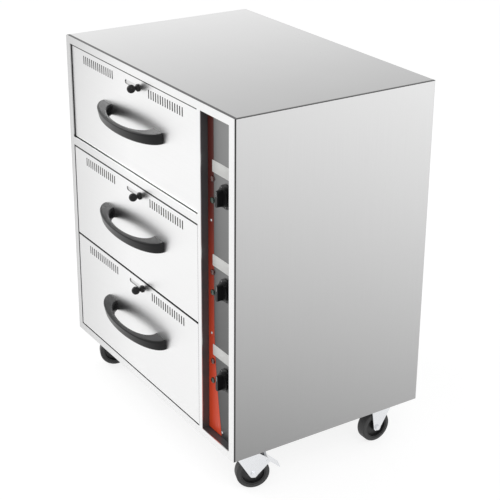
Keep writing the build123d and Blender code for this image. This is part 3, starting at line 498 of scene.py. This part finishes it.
def sheet_finish(name, groups, shading_tones, direction, start, end, stretch,
                 roughness=0.3, stripes=(), stripe_tone=0.05, contrast=0.07, shaded_edges=None):
    """Brushed stainless sheet whose tone runs along direction as painted light and shade, with
    stripes of another tone.

    Each stripe is an axis, a place along it and how far its tone reaches to either side; dark
    stripes are painted shade in gaps and at edges.
    With an axis and a place for the edges, the cut edges close to that place get painted shade
    too.
    """
    material, tree, shader = new_finish(name, metallic=1.0)
    # Painted light and shade: the tone runs from one end of the sheet to the other.
    run = group_node(tree, groups["run"], Direction=direction, Start=start, End=end,
                     Low=grey(shading_tones[0]), High=grey(shading_tones[1]))
    lines = group_node(tree, groups["brushing"], Stretch=stretch, Contrast=contrast,
                       Roughness=roughness)
    wiped = group_node(tree, groups["smudges"], Scale=7.0, Amount=0.06)
    colour = mix_colours(tree, "MULTIPLY", 1.0, run.outputs["Color"], lines.outputs["Tone"])
    # Painted shade: dark stripes in the gaps and along the edges; a pale stripe lifts the
    # painted shade.
    for axis, place, reach in stripes:
        stripe = group_node(tree, groups["stripe"], Direction=axis, Place=place, Width=reach)
        colour = mix_colours(tree, "MIX", stripe.outputs["Mask"], colour, grey(stripe_tone))
    # Painted shade on the walls of cuts and gaps near the front.
    if shaded_edges:
        axis, place = shaded_edges
        facing = group_node(tree, groups["facing"], Direction=axis)
        near = group_node(tree, groups["stripe"], Direction=axis, Place=place, Width=EDGE_SHADE)
        aside = math_node(tree, "SUBTRACT", EDGE_TURN, facing.outputs["Either Side"])
        steep = math_node(tree, "MULTIPLY", aside, 4.0, True)
        cut = math_node(tree, "MULTIPLY", steep, near.outputs["Mask"])
        colour = mix_colours(tree, "MIX", cut, colour, grey(stripe_tone))
    tree.links.new(colour, shader.inputs["Base Color"])
    rough = math_node(tree, "ADD", lines.outputs["Roughness"], wiped.outputs["Change"])
    tree.links.new(rough, shader.inputs["Roughness"])
    add_bump(tree, shader, lines.outputs["Height"], 0.00003, 0.3)
    return material


def grit_finish(name, groups, colour, roughness, scale=1500.0, contrast=0.12,
                metallic=0.0, bump=0.00003, specular=0.5, coat=0.0):
    """Plastic, paint, rubber or plating with an even fine grain and faint wiped patches."""
    material, tree, shader = new_finish(name, metallic)
    shader.inputs["Specular IOR Level"].default_value = specular
    shader.inputs["Coat Weight"].default_value = coat
    shader.inputs["Coat Roughness"].default_value = 0.08
    grit = group_node(tree, groups["grit"], Scale=scale, Contrast=contrast,
                      Roughness=roughness)
    wiped = group_node(tree, groups["smudges"], Scale=25.0, Amount=0.12)
    tinted = mix_colours(tree, "MULTIPLY", 1.0, tuple(colour) + (1.0,), grit.outputs["Tone"])
    tree.links.new(tinted, shader.inputs["Base Color"])
    rough = math_node(tree, "ADD", grit.outputs["Roughness"], wiped.outputs["Change"])
    tree.links.new(rough, shader.inputs["Roughness"])
    add_bump(tree, shader, grit.outputs["Height"], bump)
    return material


def band_finish(groups, settings):
    """Printed accent band with painted shade: dark at its top, bright at its foot."""
    material, tree, shader = new_finish("accent_print")
    # Painted shade: the print darkens towards the band's top.
    run = group_node(tree, groups["run"], Direction=Z_AXIS, Start=FASCIA_LOW.z + BAND_SHADE_AT,
                     End=FASCIA_LOW.z + BAND_BRIGHT_AT,
                     Low=tuple(settings.band_shaded_top_colour) + (1.0,),
                     High=tuple(settings.band_foot_colour) + (1.0,))
    grit = group_node(tree, groups["grit"], Scale=900.0, Contrast=0.08, Roughness=0.42)
    colour = mix_colours(tree, "MULTIPLY", 1.0, run.outputs["Color"], grit.outputs["Tone"])
    tree.links.new(colour, shader.inputs["Base Color"])
    tree.links.new(grit.outputs["Roughness"], shader.inputs["Roughness"])
    add_bump(tree, shader, grit.outputs["Height"], 0.00002)
    return material


def lens_finish(name, groups, colour, glow):
    """Moulded lamp lens, lit faintly from inside."""
    material = grit_finish(name, groups, colour, 0.16, scale=700.0, coat=0.6)
    shader = material.node_tree.nodes["Principled BSDF"]
    shader.inputs["Emission Color"].default_value = tuple(colour) + (1.0,)
    shader.inputs["Emission Strength"].default_value = glow
    return material


def wool_finish(groups):
    """Mineral wool: matted fibres in two tones."""
    material, tree, shader = new_finish("matted_wool")
    shader.inputs["Roughness"].default_value = 0.95
    fibres = group_node(tree, groups["brushing"], Stretch=(60.0, 500.0, 500.0),
                        Contrast=0.7, Roughness=0.9)
    colour = mix_colours(tree, "MULTIPLY", 1.0, (0.55, 0.47, 0.28, 1.0), fibres.outputs["Tone"])
    tree.links.new(colour, shader.inputs["Base Color"])
    add_bump(tree, shader, fibres.outputs["Height"], 0.0006, 0.8)
    return material


FINISHES = {}


def build_finishes(scene):
    """Makes every material once and keeps it in FINISHES by name."""
    sheet = scene.warmer_sheet
    fascia = scene.warmer_fascia
    groups = {
        "brushing": build_brushing(),
        "smudges": build_smudges(),
        "run": build_shading_run(),
        "stripe": build_stripe_mask(),
        "grit": build_grit(),
        "facing": build_facing(),
    }
    left, right = CABINET_LOW.x, CABINET_HIGH.x
    front, back = CABINET_LOW.y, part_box("rear_panel")[1].y
    foot, top = CABINET_LOW.z, CABINET_HIGH.z
    along_x = (6.0, 700.0, 700.0)
    along_y = (700.0, 6.0, 700.0)
    along_z = (700.0, 700.0, 6.0)
    side_axis = (0.0, 0.5, 1.0)
    side_start = foot + 0.5 * front
    side_end = top + 0.5 * back
    seam_y = front + FRAME_SHEET
    shaded = sheet.shade_line_width
    wall = DRAWER_SKIN / 2
    slide_low, slide_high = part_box("vent_knob_upper")
    slide_x = (slide_low.x + slide_high.x) / 2 - SLIDE_REACH / 2
    # Painted shadow in the gap above each drawer face.
    drawer_tops = [(Z_AXIS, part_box("drawer_front_" + level)[1].z, TOP_SHADE)
                   for level in LEVELS]
    # Painted shade on the frame's inner returns round the drawers.
    frame_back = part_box("front_frame")[1].y
    return_y = (seam_y + frame_back) / 2
    return_reach = (frame_back - seam_y) / 2 - wall
    FINISHES.update({
        # Painted light: lighter towards the right; painted shadow along each drawer's top and
        # painted shade on the walls of its cuts.
        "drawer_face": sheet_finish(
            "drawer_face", groups, sheet.face_shading_tones, X_AXIS, left, left + 0.3, along_x,
            stripes=drawer_tops, stripe_tone=0.04,
            shaded_edges=(Y_AXIS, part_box("drawer_front_upper")[0].y)),
        # Painted light: lighter towards the right, with painted shade on the inner returns.
        "face_frame": sheet_finish(
            "face_frame", groups, sheet.frame_shading_tones, X_AXIS, left, left + 0.3, along_z,
            stripes=((Y_AXIS, return_y, return_reach),), stripe_tone=0.1),
        # Painted light and shade: lighter towards the top and back, with a painted shade line
        # along the front edge.
        "side_sheet": sheet_finish(
            "side_sheet", groups, sheet.side_shading_tones, side_axis, side_start, side_end, along_z,
            stripes=((Y_AXIS, seam_y, shaded),), stripe_tone=sheet.stripe_tone),
        # Painted light and shade: lighter at the left, with painted shade lines along the front
        # and right edges.
        "top_sheet": sheet_finish(
            "top_sheet", groups, sheet.top_shading_tones, X_AXIS, left, right, along_x,
            stripes=((Y_AXIS, seam_y, 2 * shaded), (X_AXIS, right, 1.3 * shaded)),
            stripe_tone=sheet.stripe_tone),
        # Painted shade: darker towards the foot.
        "rear_sheet": sheet_finish(
            "rear_sheet", groups, (0.42, 0.7), Z_AXIS, foot, top, along_x),
        # Painted shade: the recess walls are a dark, non-metal grey where the recess is in
        # shade.
        "recess_sheet": grit_finish(
            "recess_sheet", groups, (0.075, 0.075, 0.078), 0.34, scale=500.0, contrast=0.2,
            specular=0.6),
        # Painted shade: the fascia sheet is dark, as the recess shades it, and darker towards
        # its foot.
        "fascia_sheet": sheet_finish(
            "fascia_sheet", groups, (0.09, 0.28), Z_AXIS, foot, top, along_x, roughness=0.42),
        # Painted shade: darker towards the foot.
        "inner_sheet": sheet_finish(
            "inner_sheet", groups, (0.5, 0.62), Z_AXIS, foot, top, along_x, roughness=0.34),
        # Painted shade: the vent plate is near black behind the drawer face; the stripe behind
        # the knob's slot keeps the sheet's pale tone.
        "vent_sheet": sheet_finish(
            "vent_sheet", groups, (0.012, 0.012), Z_AXIS, foot, top, along_x, roughness=0.5,
            stripes=((X_AXIS, slide_x, SLIDE_REACH),), stripe_tone=0.75),
        # Painted shade on the inner panel's front face, behind the drawer face; the sheet is
        # also darker towards the foot.
        "carriage_sheet": sheet_finish(
            "carriage_sheet", groups, (0.5, 0.62), Z_AXIS, foot, top, along_x, roughness=0.34,
            stripes=((Y_AXIS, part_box("carriage_upper")[0].y, PANEL_SHADE),), stripe_tone=0.015),
        # Painted shade: darker towards the foot.
        "pan_sheet": sheet_finish(
            "pan_sheet", groups, (0.62, 0.74), Z_AXIS, foot, top, (90.0, 90.0, 90.0),
            roughness=0.28, contrast=0.04),
        "galvanised": grit_finish(
            "galvanised", groups, (0.55, 0.56, 0.57), 0.42, scale=120.0, contrast=0.25,
            metallic=1.0),
        "bright_zinc": grit_finish(
            "bright_zinc", groups, (0.78, 0.79, 0.81), 0.2, scale=350.0, contrast=0.1,
            metallic=1.0),
        "element_sheath": grit_finish(
            "element_sheath", groups, (0.24, 0.21, 0.19), 0.5, scale=600.0, contrast=0.3,
            metallic=1.0),
        "handle_gloss": grit_finish(
            "handle_gloss", groups, (0.012, 0.012, 0.0125), 0.3, scale=900.0, contrast=0.08,
            bump=0.00001, specular=0.2),
        "black_moulding": grit_finish(
            "black_moulding", groups, (0.007, 0.007, 0.0075), 0.36, scale=1500.0, contrast=0.1,
            specular=0.25),
        "hub_moulding": grit_finish(
            "hub_moulding", groups, (0.02, 0.02, 0.021), 0.45, scale=1300.0),
        "tyre_rubber": grit_finish(
            "tyre_rubber", groups, (0.045, 0.045, 0.046), 0.55, scale=1100.0, contrast=0.2,
            bump=0.00008),
        "red_lens": lens_finish("red_lens", groups, (0.10, 0.018, 0.014), 0.03),
        "green_lens": lens_finish("green_lens", groups, (0.010, 0.042, 0.026), 0.03),
        "matted_wool": wool_finish(groups),
        "white_plate": grit_finish(
            "white_plate", groups, (0.88, 0.88, 0.86), 0.45, scale=1200.0, contrast=0.05),
        "dial_white": grit_finish(
            "dial_white", groups, (0.62, 0.62, 0.62), 0.5, scale=1200.0, contrast=0.05),
        "accent_print": band_finish(groups, fascia),
    })


NODE_FINISHES = {
    "top_panel": "top_sheet",
    "left_side_panel": "side_sheet",
    "right_side_panel": "side_sheet",
    "rear_panel": "rear_sheet",
    "base_panel": "inner_sheet",
    "front_frame": "face_frame",
    "control_recess": "recess_sheet",
    "control_fascia": "fascia_sheet",
    "fascia_screws": "bright_zinc",
    "thermostats": "galvanised",
    "red_lamps": "red_lens",
    "green_lamps": "green_lens",
    "heating_elements": "element_sheath",
    "cavity_liner": "inner_sheet",
    "insulation": "matted_wool",
    "outer_rails": "galvanised",
    "cable_gland": "black_moulding",
    "caster_plates": "bright_zinc",
    "caster_bolts": "bright_zinc",
}
LEVEL_FINISHES = {
    "drawer_front_": "drawer_face",
    "carriage_": "carriage_sheet",
    "pan_": "pan_sheet",
    "handle_": "handle_gloss",
    "vent_plate_": "vent_sheet",
    "vent_knob_": "black_moulding",
    "inner_rails_": "galvanised",
    "mid_rails_": "galvanised",
    "knob_": "black_moulding",
    "fork_": "bright_zinc",
    "tyre_": "tyre_rubber",
    "hub_": "hub_moulding",
    "brake_pedal_": "bright_zinc",
}


def finish_of(node):
    if node in NODE_FINISHES:
        return FINISHES[NODE_FINISHES[node]]
    for start, finish in LEVEL_FINISHES.items():
        if node.startswith(start):
            return FINISHES[finish]
    raise RuntimeError(f"the node {node} has no finish")


def knob_centre(level):
    """Middle of a knob's turned parts, on the fascia's face."""
    low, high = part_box("knob_" + level)
    return Vector(((low.x + high.x) / 2, FASCIA_LOW.y, (low.z + high.z) / 2))


class WARMER_OT_finishes(bpy.types.Operator):
    """Gives every carried-over part its material"""

    bl_idname = "warmer.finishes"
    bl_label = "Finishes"

    def execute(self, context):
        build_finishes(context.scene)
        for name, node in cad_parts.items():
            node.data.materials.clear()
            node.data.materials.append(finish_of(name))
        return {"FINISHED"}


class WARMER_OT_label_plates(bpy.types.Operator):
    """Adds the three bare white plates above the knobs"""

    bl_idname = "warmer.label_plates"
    bl_label = "Label plates"

    def execute(self, context):
        settings = context.scene.warmer_fascia
        size = (settings.plate_width, settings.plate_thickness, settings.plate_height)
        pattern = rounded_plate("plate_pattern", size, 1.2 * MILLIMETRE, 0.25 * MILLIMETRE)
        middle_x = FASCIA_LOW.x + settings.plate_left + settings.plate_width / 2
        middle_y = FASCIA_LOW.y - settings.plate_thickness / 2
        for level in LEVELS:
            middle_z = knob_centre(level).z + settings.plate_rise
            place = Matrix.Translation((middle_x, middle_y, middle_z))
            plate = copied(pattern, place)
            plate.name = "label_plate_" + level
            plate.data.name = plate.name
            smooth(plate)
            dress(plate, "cabinet", FINISHES["white_plate"])
        bpy.data.objects.remove(pattern)
        return {"FINISHED"}


class WARMER_OT_accent_band(bpy.types.Operator):
    """Adds the coloured band that widens towards the fascia's foot"""

    bl_idname = "warmer.accent_band"
    bl_label = "Accent band"

    def execute(self, context):
        settings = context.scene.warmer_fascia
        height = FASCIA_HIGH.z - FASCIA_LOW.z - 2 * MILLIMETRE
        thickness = 0.3 * MILLIMETRE
        deselect_all()
        bpy.ops.mesh.primitive_grid_add(x_subdivisions=6, y_subdivisions=60, size=1)
        band = bpy.context.object
        band.rotation_euler = (math.radians(90), 0, 0)
        settle(band)
        for vertex in band.data.vertices:
            drop = (0.5 + vertex.co.z) * height
            flare = max(0.0, 1 - drop / settings.band_flare)
            width = settings.band_width + (settings.band_foot - settings.band_width) * flare**1.6
            vertex.co.x = FASCIA_LOW.x + (0.5 + vertex.co.x) * width
            vertex.co.z = FASCIA_LOW.z + MILLIMETRE + drop
            vertex.co.y = FASCIA_LOW.y - thickness
        wall = band.modifiers.new("thickness", "SOLIDIFY")
        wall.thickness = thickness
        wall.offset = -1
        select_only(band)
        bpy.ops.object.modifier_apply(modifier=wall.name)
        band.name = "accent_band"
        band.data.name = band.name
        dress(band, "cabinet", FINISHES["accent_print"])
        return {"FINISHED"}


def flat_mark(size, place, turn):
    """A thin printed bar facing -Y at place, turned about Y by turn."""
    bpy.ops.mesh.primitive_cube_add(size=1)
    mark = bpy.context.object
    mark.scale = size
    settle(mark)
    bevel_edges(mark, lambda a, b: abs(a.y - b.y) > size[1] / 2, min(size[0], size[2]) / 4, 2)
    mark.data.transform(Matrix.Translation(place) @ Matrix.Rotation(turn, 4, "Y"))
    return mark


def printed_number(text, height, depth):
    """A number as a thin mesh facing -Y, centred at the origin."""
    deselect_all()
    bpy.ops.object.text_add()
    number = bpy.context.object
    number.data.body = text
    number.data.size = height
    number.data.extrude = depth / 2
    number.data.align_x = "CENTER"
    number.data.align_y = "CENTER"
    number.data.resolution_u = 3
    bpy.ops.object.convert(target="MESH")
    number = bpy.context.object
    number.rotation_euler = (math.radians(90), 0, 0)
    settle(number)
    return number


class WARMER_OT_dial_marks(bpy.types.Operator):
    """Adds plain numbers, ticks and a pointer line to each knob"""

    bl_idname = "warmer.dial_marks"
    bl_label = "Dial marks"

    def execute(self, context):
        settings = context.scene.warmer_dial
        ink = 0.15 * MILLIMETRE
        number_radius = 22.6 * MILLIMETRE
        tick_radius = 25.1 * MILLIMETRE
        count = (settings.last_number - settings.first_number) // settings.number_step
        for level in LEVELS:
            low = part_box("knob_" + level)[0]
            centre = knob_centre(level)
            face_y = FASCIA_LOW.y - SKIRT_FRONT - ink / 2
            marks = []
            for index in range(count + 1):
                turn = settings.sweep * index / count + (2 * math.pi - settings.sweep) / 2
                spot = Vector((math.sin(turn), 0, math.cos(turn)))
                text = str(settings.first_number + index * settings.number_step)
                number = printed_number(text, settings.number_height, ink)
                at = centre + spot * number_radius
                at.y = face_y
                number.data.transform(
                    Matrix.Translation(at) @ Matrix.Rotation(turn, 4, "Y"))
                tick_at = centre + spot * tick_radius
                tick_at.y = face_y
                size = (0.5 * MILLIMETRE, ink, 1.2 * MILLIMETRE)
                marks += [number, flat_mark(size, tick_at, turn)]
            grip_y = low.y - ink / 2 + PRINT_SUNK
            line_at = Vector((centre.x, grip_y, centre.z + 11 * MILLIMETRE))
            marks.append(flat_mark((1.2 * MILLIMETRE, ink, 12 * MILLIMETRE), line_at, 0.0))
            print_on = joined(marks, "dial_marks_" + level)
            dress(print_on, "control_" + level, FINISHES["dial_white"])
        return {"FINISHED"}


def screw_head(diameter, height):
    """A rounded cross-recessed head facing -Y, its seat at the origin."""
    deselect_all()
    bpy.ops.mesh.primitive_cylinder_add(vertices=32, radius=diameter / 2, depth=height)
    head = bpy.context.object
    head.rotation_euler = (math.radians(90), 0, 0)
    head.location.y = -height / 2
    settle(head)
    rim = -height * 0.9
    bevel_edges(head, lambda a, b: a.y < rim and b.y < rim, height * 0.55, 4)
    cutters = []
    for turn in (0, 90):
        bpy.ops.mesh.primitive_cube_add(size=1)
        arm = bpy.context.object
        arm.scale = (diameter * 0.52, height, diameter * 0.13)
        arm.location.y = -height
        arm.rotation_euler = (0, math.radians(turn), 0)
        settle(arm)
        bevel_edges(arm, lambda a, b: a.y > -height * 0.75 and b.y > -height * 0.75,
                    diameter * 0.05, 1)
        cutters.append(arm)
    for cutter in cutters:
        cut = head.modifiers.new("recess", "BOOLEAN")
        cut.operation = "DIFFERENCE"
        cut.object = cutter
        select_only(head)
        bpy.ops.object.modifier_apply(modifier=cut.name)
        bpy.data.objects.remove(cutter)
    smooth(head)
    return head


class WARMER_OT_fascia_screws(bpy.types.Operator):
    """Adds cross-recessed heads in place of the fascia's plain screws"""

    bl_idname = "warmer.fascia_screws"
    bl_label = "Fascia screws"

    def execute(self, context):
        settings = context.scene.warmer_screw
        pattern = screw_head(settings.head_diameter, settings.head_height)
        heads = []
        for middle in screw_middles("fascia_screws", settings.head_diameter):
            place = Vector((middle.x, FASCIA_LOW.y, middle.z))
            heads.append(copied(pattern, Matrix.Translation(place)))
        whole = joined(heads, "fascia_screw_heads")
        bpy.data.objects.remove(pattern)
        dress(whole, "cabinet", FINISHES["bright_zinc"], ("fascia_screws",))
        return {"FINISHED"}


def screw_middles(node, diameter):
    """Middle of each screw in a node, found by gathering its points into clumps."""
    middles = []
    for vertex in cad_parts[node].data.vertices:
        point = Vector((vertex.co.x, 0, vertex.co.z))
        for clump in middles:
            if (clump["first"] - point).length < 1.5 * diameter:
                clump["low"] = Vector(map(min, clump["low"], point))
                clump["high"] = Vector(map(max, clump["high"], point))
                break
        else:
            middles.append({"first": point, "low": point.copy(), "high": point.copy()})
    return [(clump["low"] + clump["high"]) / 2 for clump in middles]


class WARMER_OT_rear_screws(bpy.types.Operator):
    """Adds the screws round the rear panel's edge"""

    bl_idname = "warmer.rear_screws"
    bl_label = "Rear screws"

    def execute(self, context):
        settings = context.scene.warmer_screw
        low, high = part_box("rear_panel")
        inset = settings.edge_inset
        columns = 4
        rows = 5
        width = high.x - low.x - 2 * inset
        height = high.z - low.z - 2 * inset
        places = []
        for column in range(columns):
            for row in range(rows):
                if column in (0, columns - 1) or row in (0, rows - 1):
                    places.append((low.x + inset + width * column / (columns - 1),
                                   low.z + inset + height * row / (rows - 1)))
        pattern = screw_head(settings.head_diameter, settings.head_height)
        half_turn = Matrix.Rotation(math.pi, 4, "Z")
        heads = []
        for x, z in places:
            heads.append(copied(pattern, Matrix.Translation((x, high.y, z)) @ half_turn))
        whole = joined(heads, "rear_screw_heads")
        bpy.data.objects.remove(pattern)
        dress(whole, "cabinet", FINISHES["bright_zinc"])
        return {"FINISHED"}


def light_path_shader(tree, unseen, seen):
    """Shows seen to the camera and to glossy and clear surfaces, and unseen to the rest."""
    path = tree.nodes.new("ShaderNodeLightPath")
    first = math_node(tree, "MAXIMUM", path.outputs["Is Camera Ray"],
                      path.outputs["Is Glossy Ray"])
    seen_at = math_node(tree, "MAXIMUM", first, path.outputs["Is Transmission Ray"])
    mix = tree.nodes.new("ShaderNodeMixShader")
    tree.links.new(seen_at, mix.inputs["Fac"])
    tree.links.new(unseen, mix.inputs[1])
    tree.links.new(seen, mix.inputs[2])
    return mix.outputs[0]


def soft_lamp(name, place, aim, size, power):
    lamp = bpy.data.lights.new(name, "AREA")
    lamp.shape = "DISK"
    lamp.size = size
    lamp.energy = power
    holder = bpy.data.objects.new(name, lamp)
    bpy.context.scene.collection.objects.link(holder)
    holder.location = place
    holder.rotation_euler = (Vector(aim) - Vector(place)).to_track_quat("-Z", "Y").to_euler()


class WARMER_OT_stage(bpy.types.Operator):
    """Sets up the floor, the white surroundings, the soft lamps and the camera"""

    bl_idname = "warmer.stage"
    bl_label = "Stage"

    def execute(self, context):
        settings = context.scene.warmer_stage
        self.add_floor(settings)
        self.add_sky(context.scene, settings)
        middle = (0.0, 0.0, 0.45)
        soft_lamp("key_lamp", (-2.5, -1.5, 2.2), middle, 1.3, settings.key_power)
        soft_lamp("fill_lamp", (2.6, -0.6, 2.9), middle, 1.8, settings.fill_power)
        self.add_camera(context.scene, settings)
        return {"FINISHED"}

    def add_floor(self, settings):
        deselect_all()
        bpy.ops.mesh.primitive_plane_add(size=30)
        floor = bpy.context.object
        floor.name = "studio_floor"
        material = bpy.data.materials.new("studio_floor")
        material.use_nodes = True
        tree = material.node_tree
        shader = tree.nodes["Principled BSDF"]
        shader.inputs["Base Color"].default_value = grey(0.75)
        shader.inputs["Roughness"].default_value = 1.0
        shader.inputs["Specular IOR Level"].default_value = 0.0
        glow = tree.nodes.new("ShaderNodeEmission")
        glow.inputs["Color"].default_value = grey(1.0)
        glow.inputs["Strength"].default_value = settings.floor_glow
        catcher = tree.nodes.new("ShaderNodeBsdfDiffuse")
        catcher.inputs["Color"].default_value = grey(0.32)
        added = tree.nodes.new("ShaderNodeAddShader")
        tree.links.new(glow.outputs[0], added.inputs[0])
        tree.links.new(catcher.outputs[0], added.inputs[1])
        surface = light_path_shader(tree, shader.outputs[0], added.outputs[0])
        tree.links.new(surface, tree.nodes["Material Output"].inputs["Surface"])
        floor.data.materials.append(material)

    def add_sky(self, scene, settings):
        world = bpy.data.worlds.new("studio_sky")
        world.use_nodes = True
        scene.world = world
        tree = world.node_tree
        even = tree.nodes["Background"]
        even.inputs["Color"].default_value = grey(1.0)
        even.inputs["Strength"].default_value = settings.sky_level
        white = tree.nodes.new("ShaderNodeBackground")
        white.inputs["Color"].default_value = grey(1.0)
        white.inputs["Strength"].default_value = 1.0
        surface = light_path_shader(tree, even.outputs[0], white.outputs[0])
        tree.links.new(surface, tree.nodes["World Output"].inputs["Surface"])

    def add_camera(self, scene, settings):
        level = math.cos(settings.elevation)
        back = Vector((math.sin(settings.azimuth) * level, -math.cos(settings.azimuth) * level,
                       math.sin(settings.elevation)))
        right = Vector(Z_AXIS).cross(back).normalized()
        up = back.cross(right)
        turned_right = right * math.cos(settings.roll) + up * math.sin(settings.roll)
        turned_up = up * math.cos(settings.roll) - right * math.sin(settings.roll)
        lens = bpy.data.cameras.new("studio_camera")
        lens.lens = settings.lens
        lens.sensor_width = 36
        lens.shift_x, lens.shift_y = settings.shift
        camera = bpy.data.objects.new("studio_camera", lens)
        scene.collection.objects.link(camera)
        turn = Matrix((turned_right, turned_up, back)).transposed().to_4x4()
        camera.matrix_world = Matrix.Translation(settings.place) @ turn
        scene.camera = camera


OPERATORS = (
    WARMER_OT_finishes,
    WARMER_OT_label_plates,
    WARMER_OT_accent_band,
    WARMER_OT_dial_marks,
    WARMER_OT_fascia_screws,
    WARMER_OT_rear_screws,
    WARMER_OT_stage,
)


class WARMER_PT_pieces(bpy.types.Panel):
    """Lists the warmer's pieces"""

    bl_idname = "WARMER_PT_pieces"
    bl_label = "Drawer warmer"
    bl_space_type = "VIEW_3D"
    bl_region_type = "UI"
    bl_category = "Warmer"

    def draw(self, context):
        for operator in OPERATORS:
            self.layout.operator(operator.bl_idname)


SETTINGS = {
    "warmer_stage": StageSettings,
    "warmer_sheet": SheetSettings,
    "warmer_fascia": FasciaSettings,
    "warmer_dial": DialSettings,
    "warmer_screw": ScrewSettings,
}


def register():
    for name, group in SETTINGS.items():
        bpy.utils.register_class(group)
        setattr(bpy.types.Scene, name, bpy.props.PointerProperty(type=group))
    for item in OPERATORS + (WARMER_PT_pieces,):
        bpy.utils.register_class(item)


def unregister():
    for item in reversed(OPERATORS + (WARMER_PT_pieces,)):
        bpy.utils.unregister_class(item)
    for name, group in reversed(SETTINGS.items()):
        delattr(bpy.types.Scene, name)
        bpy.utils.unregister_class(group)


def main():
    register()
    bpy.context.scene.view_settings.view_transform = "Standard"
    bpy.ops.warmer.finishes()
    bpy.ops.warmer.label_plates()
    bpy.ops.warmer.accent_band()
    bpy.ops.warmer.dial_marks()
    bpy.ops.warmer.fascia_screws()
    bpy.ops.warmer.rear_screws()
    bpy.ops.warmer.stage()


if __name__ == "__main__":
    main()
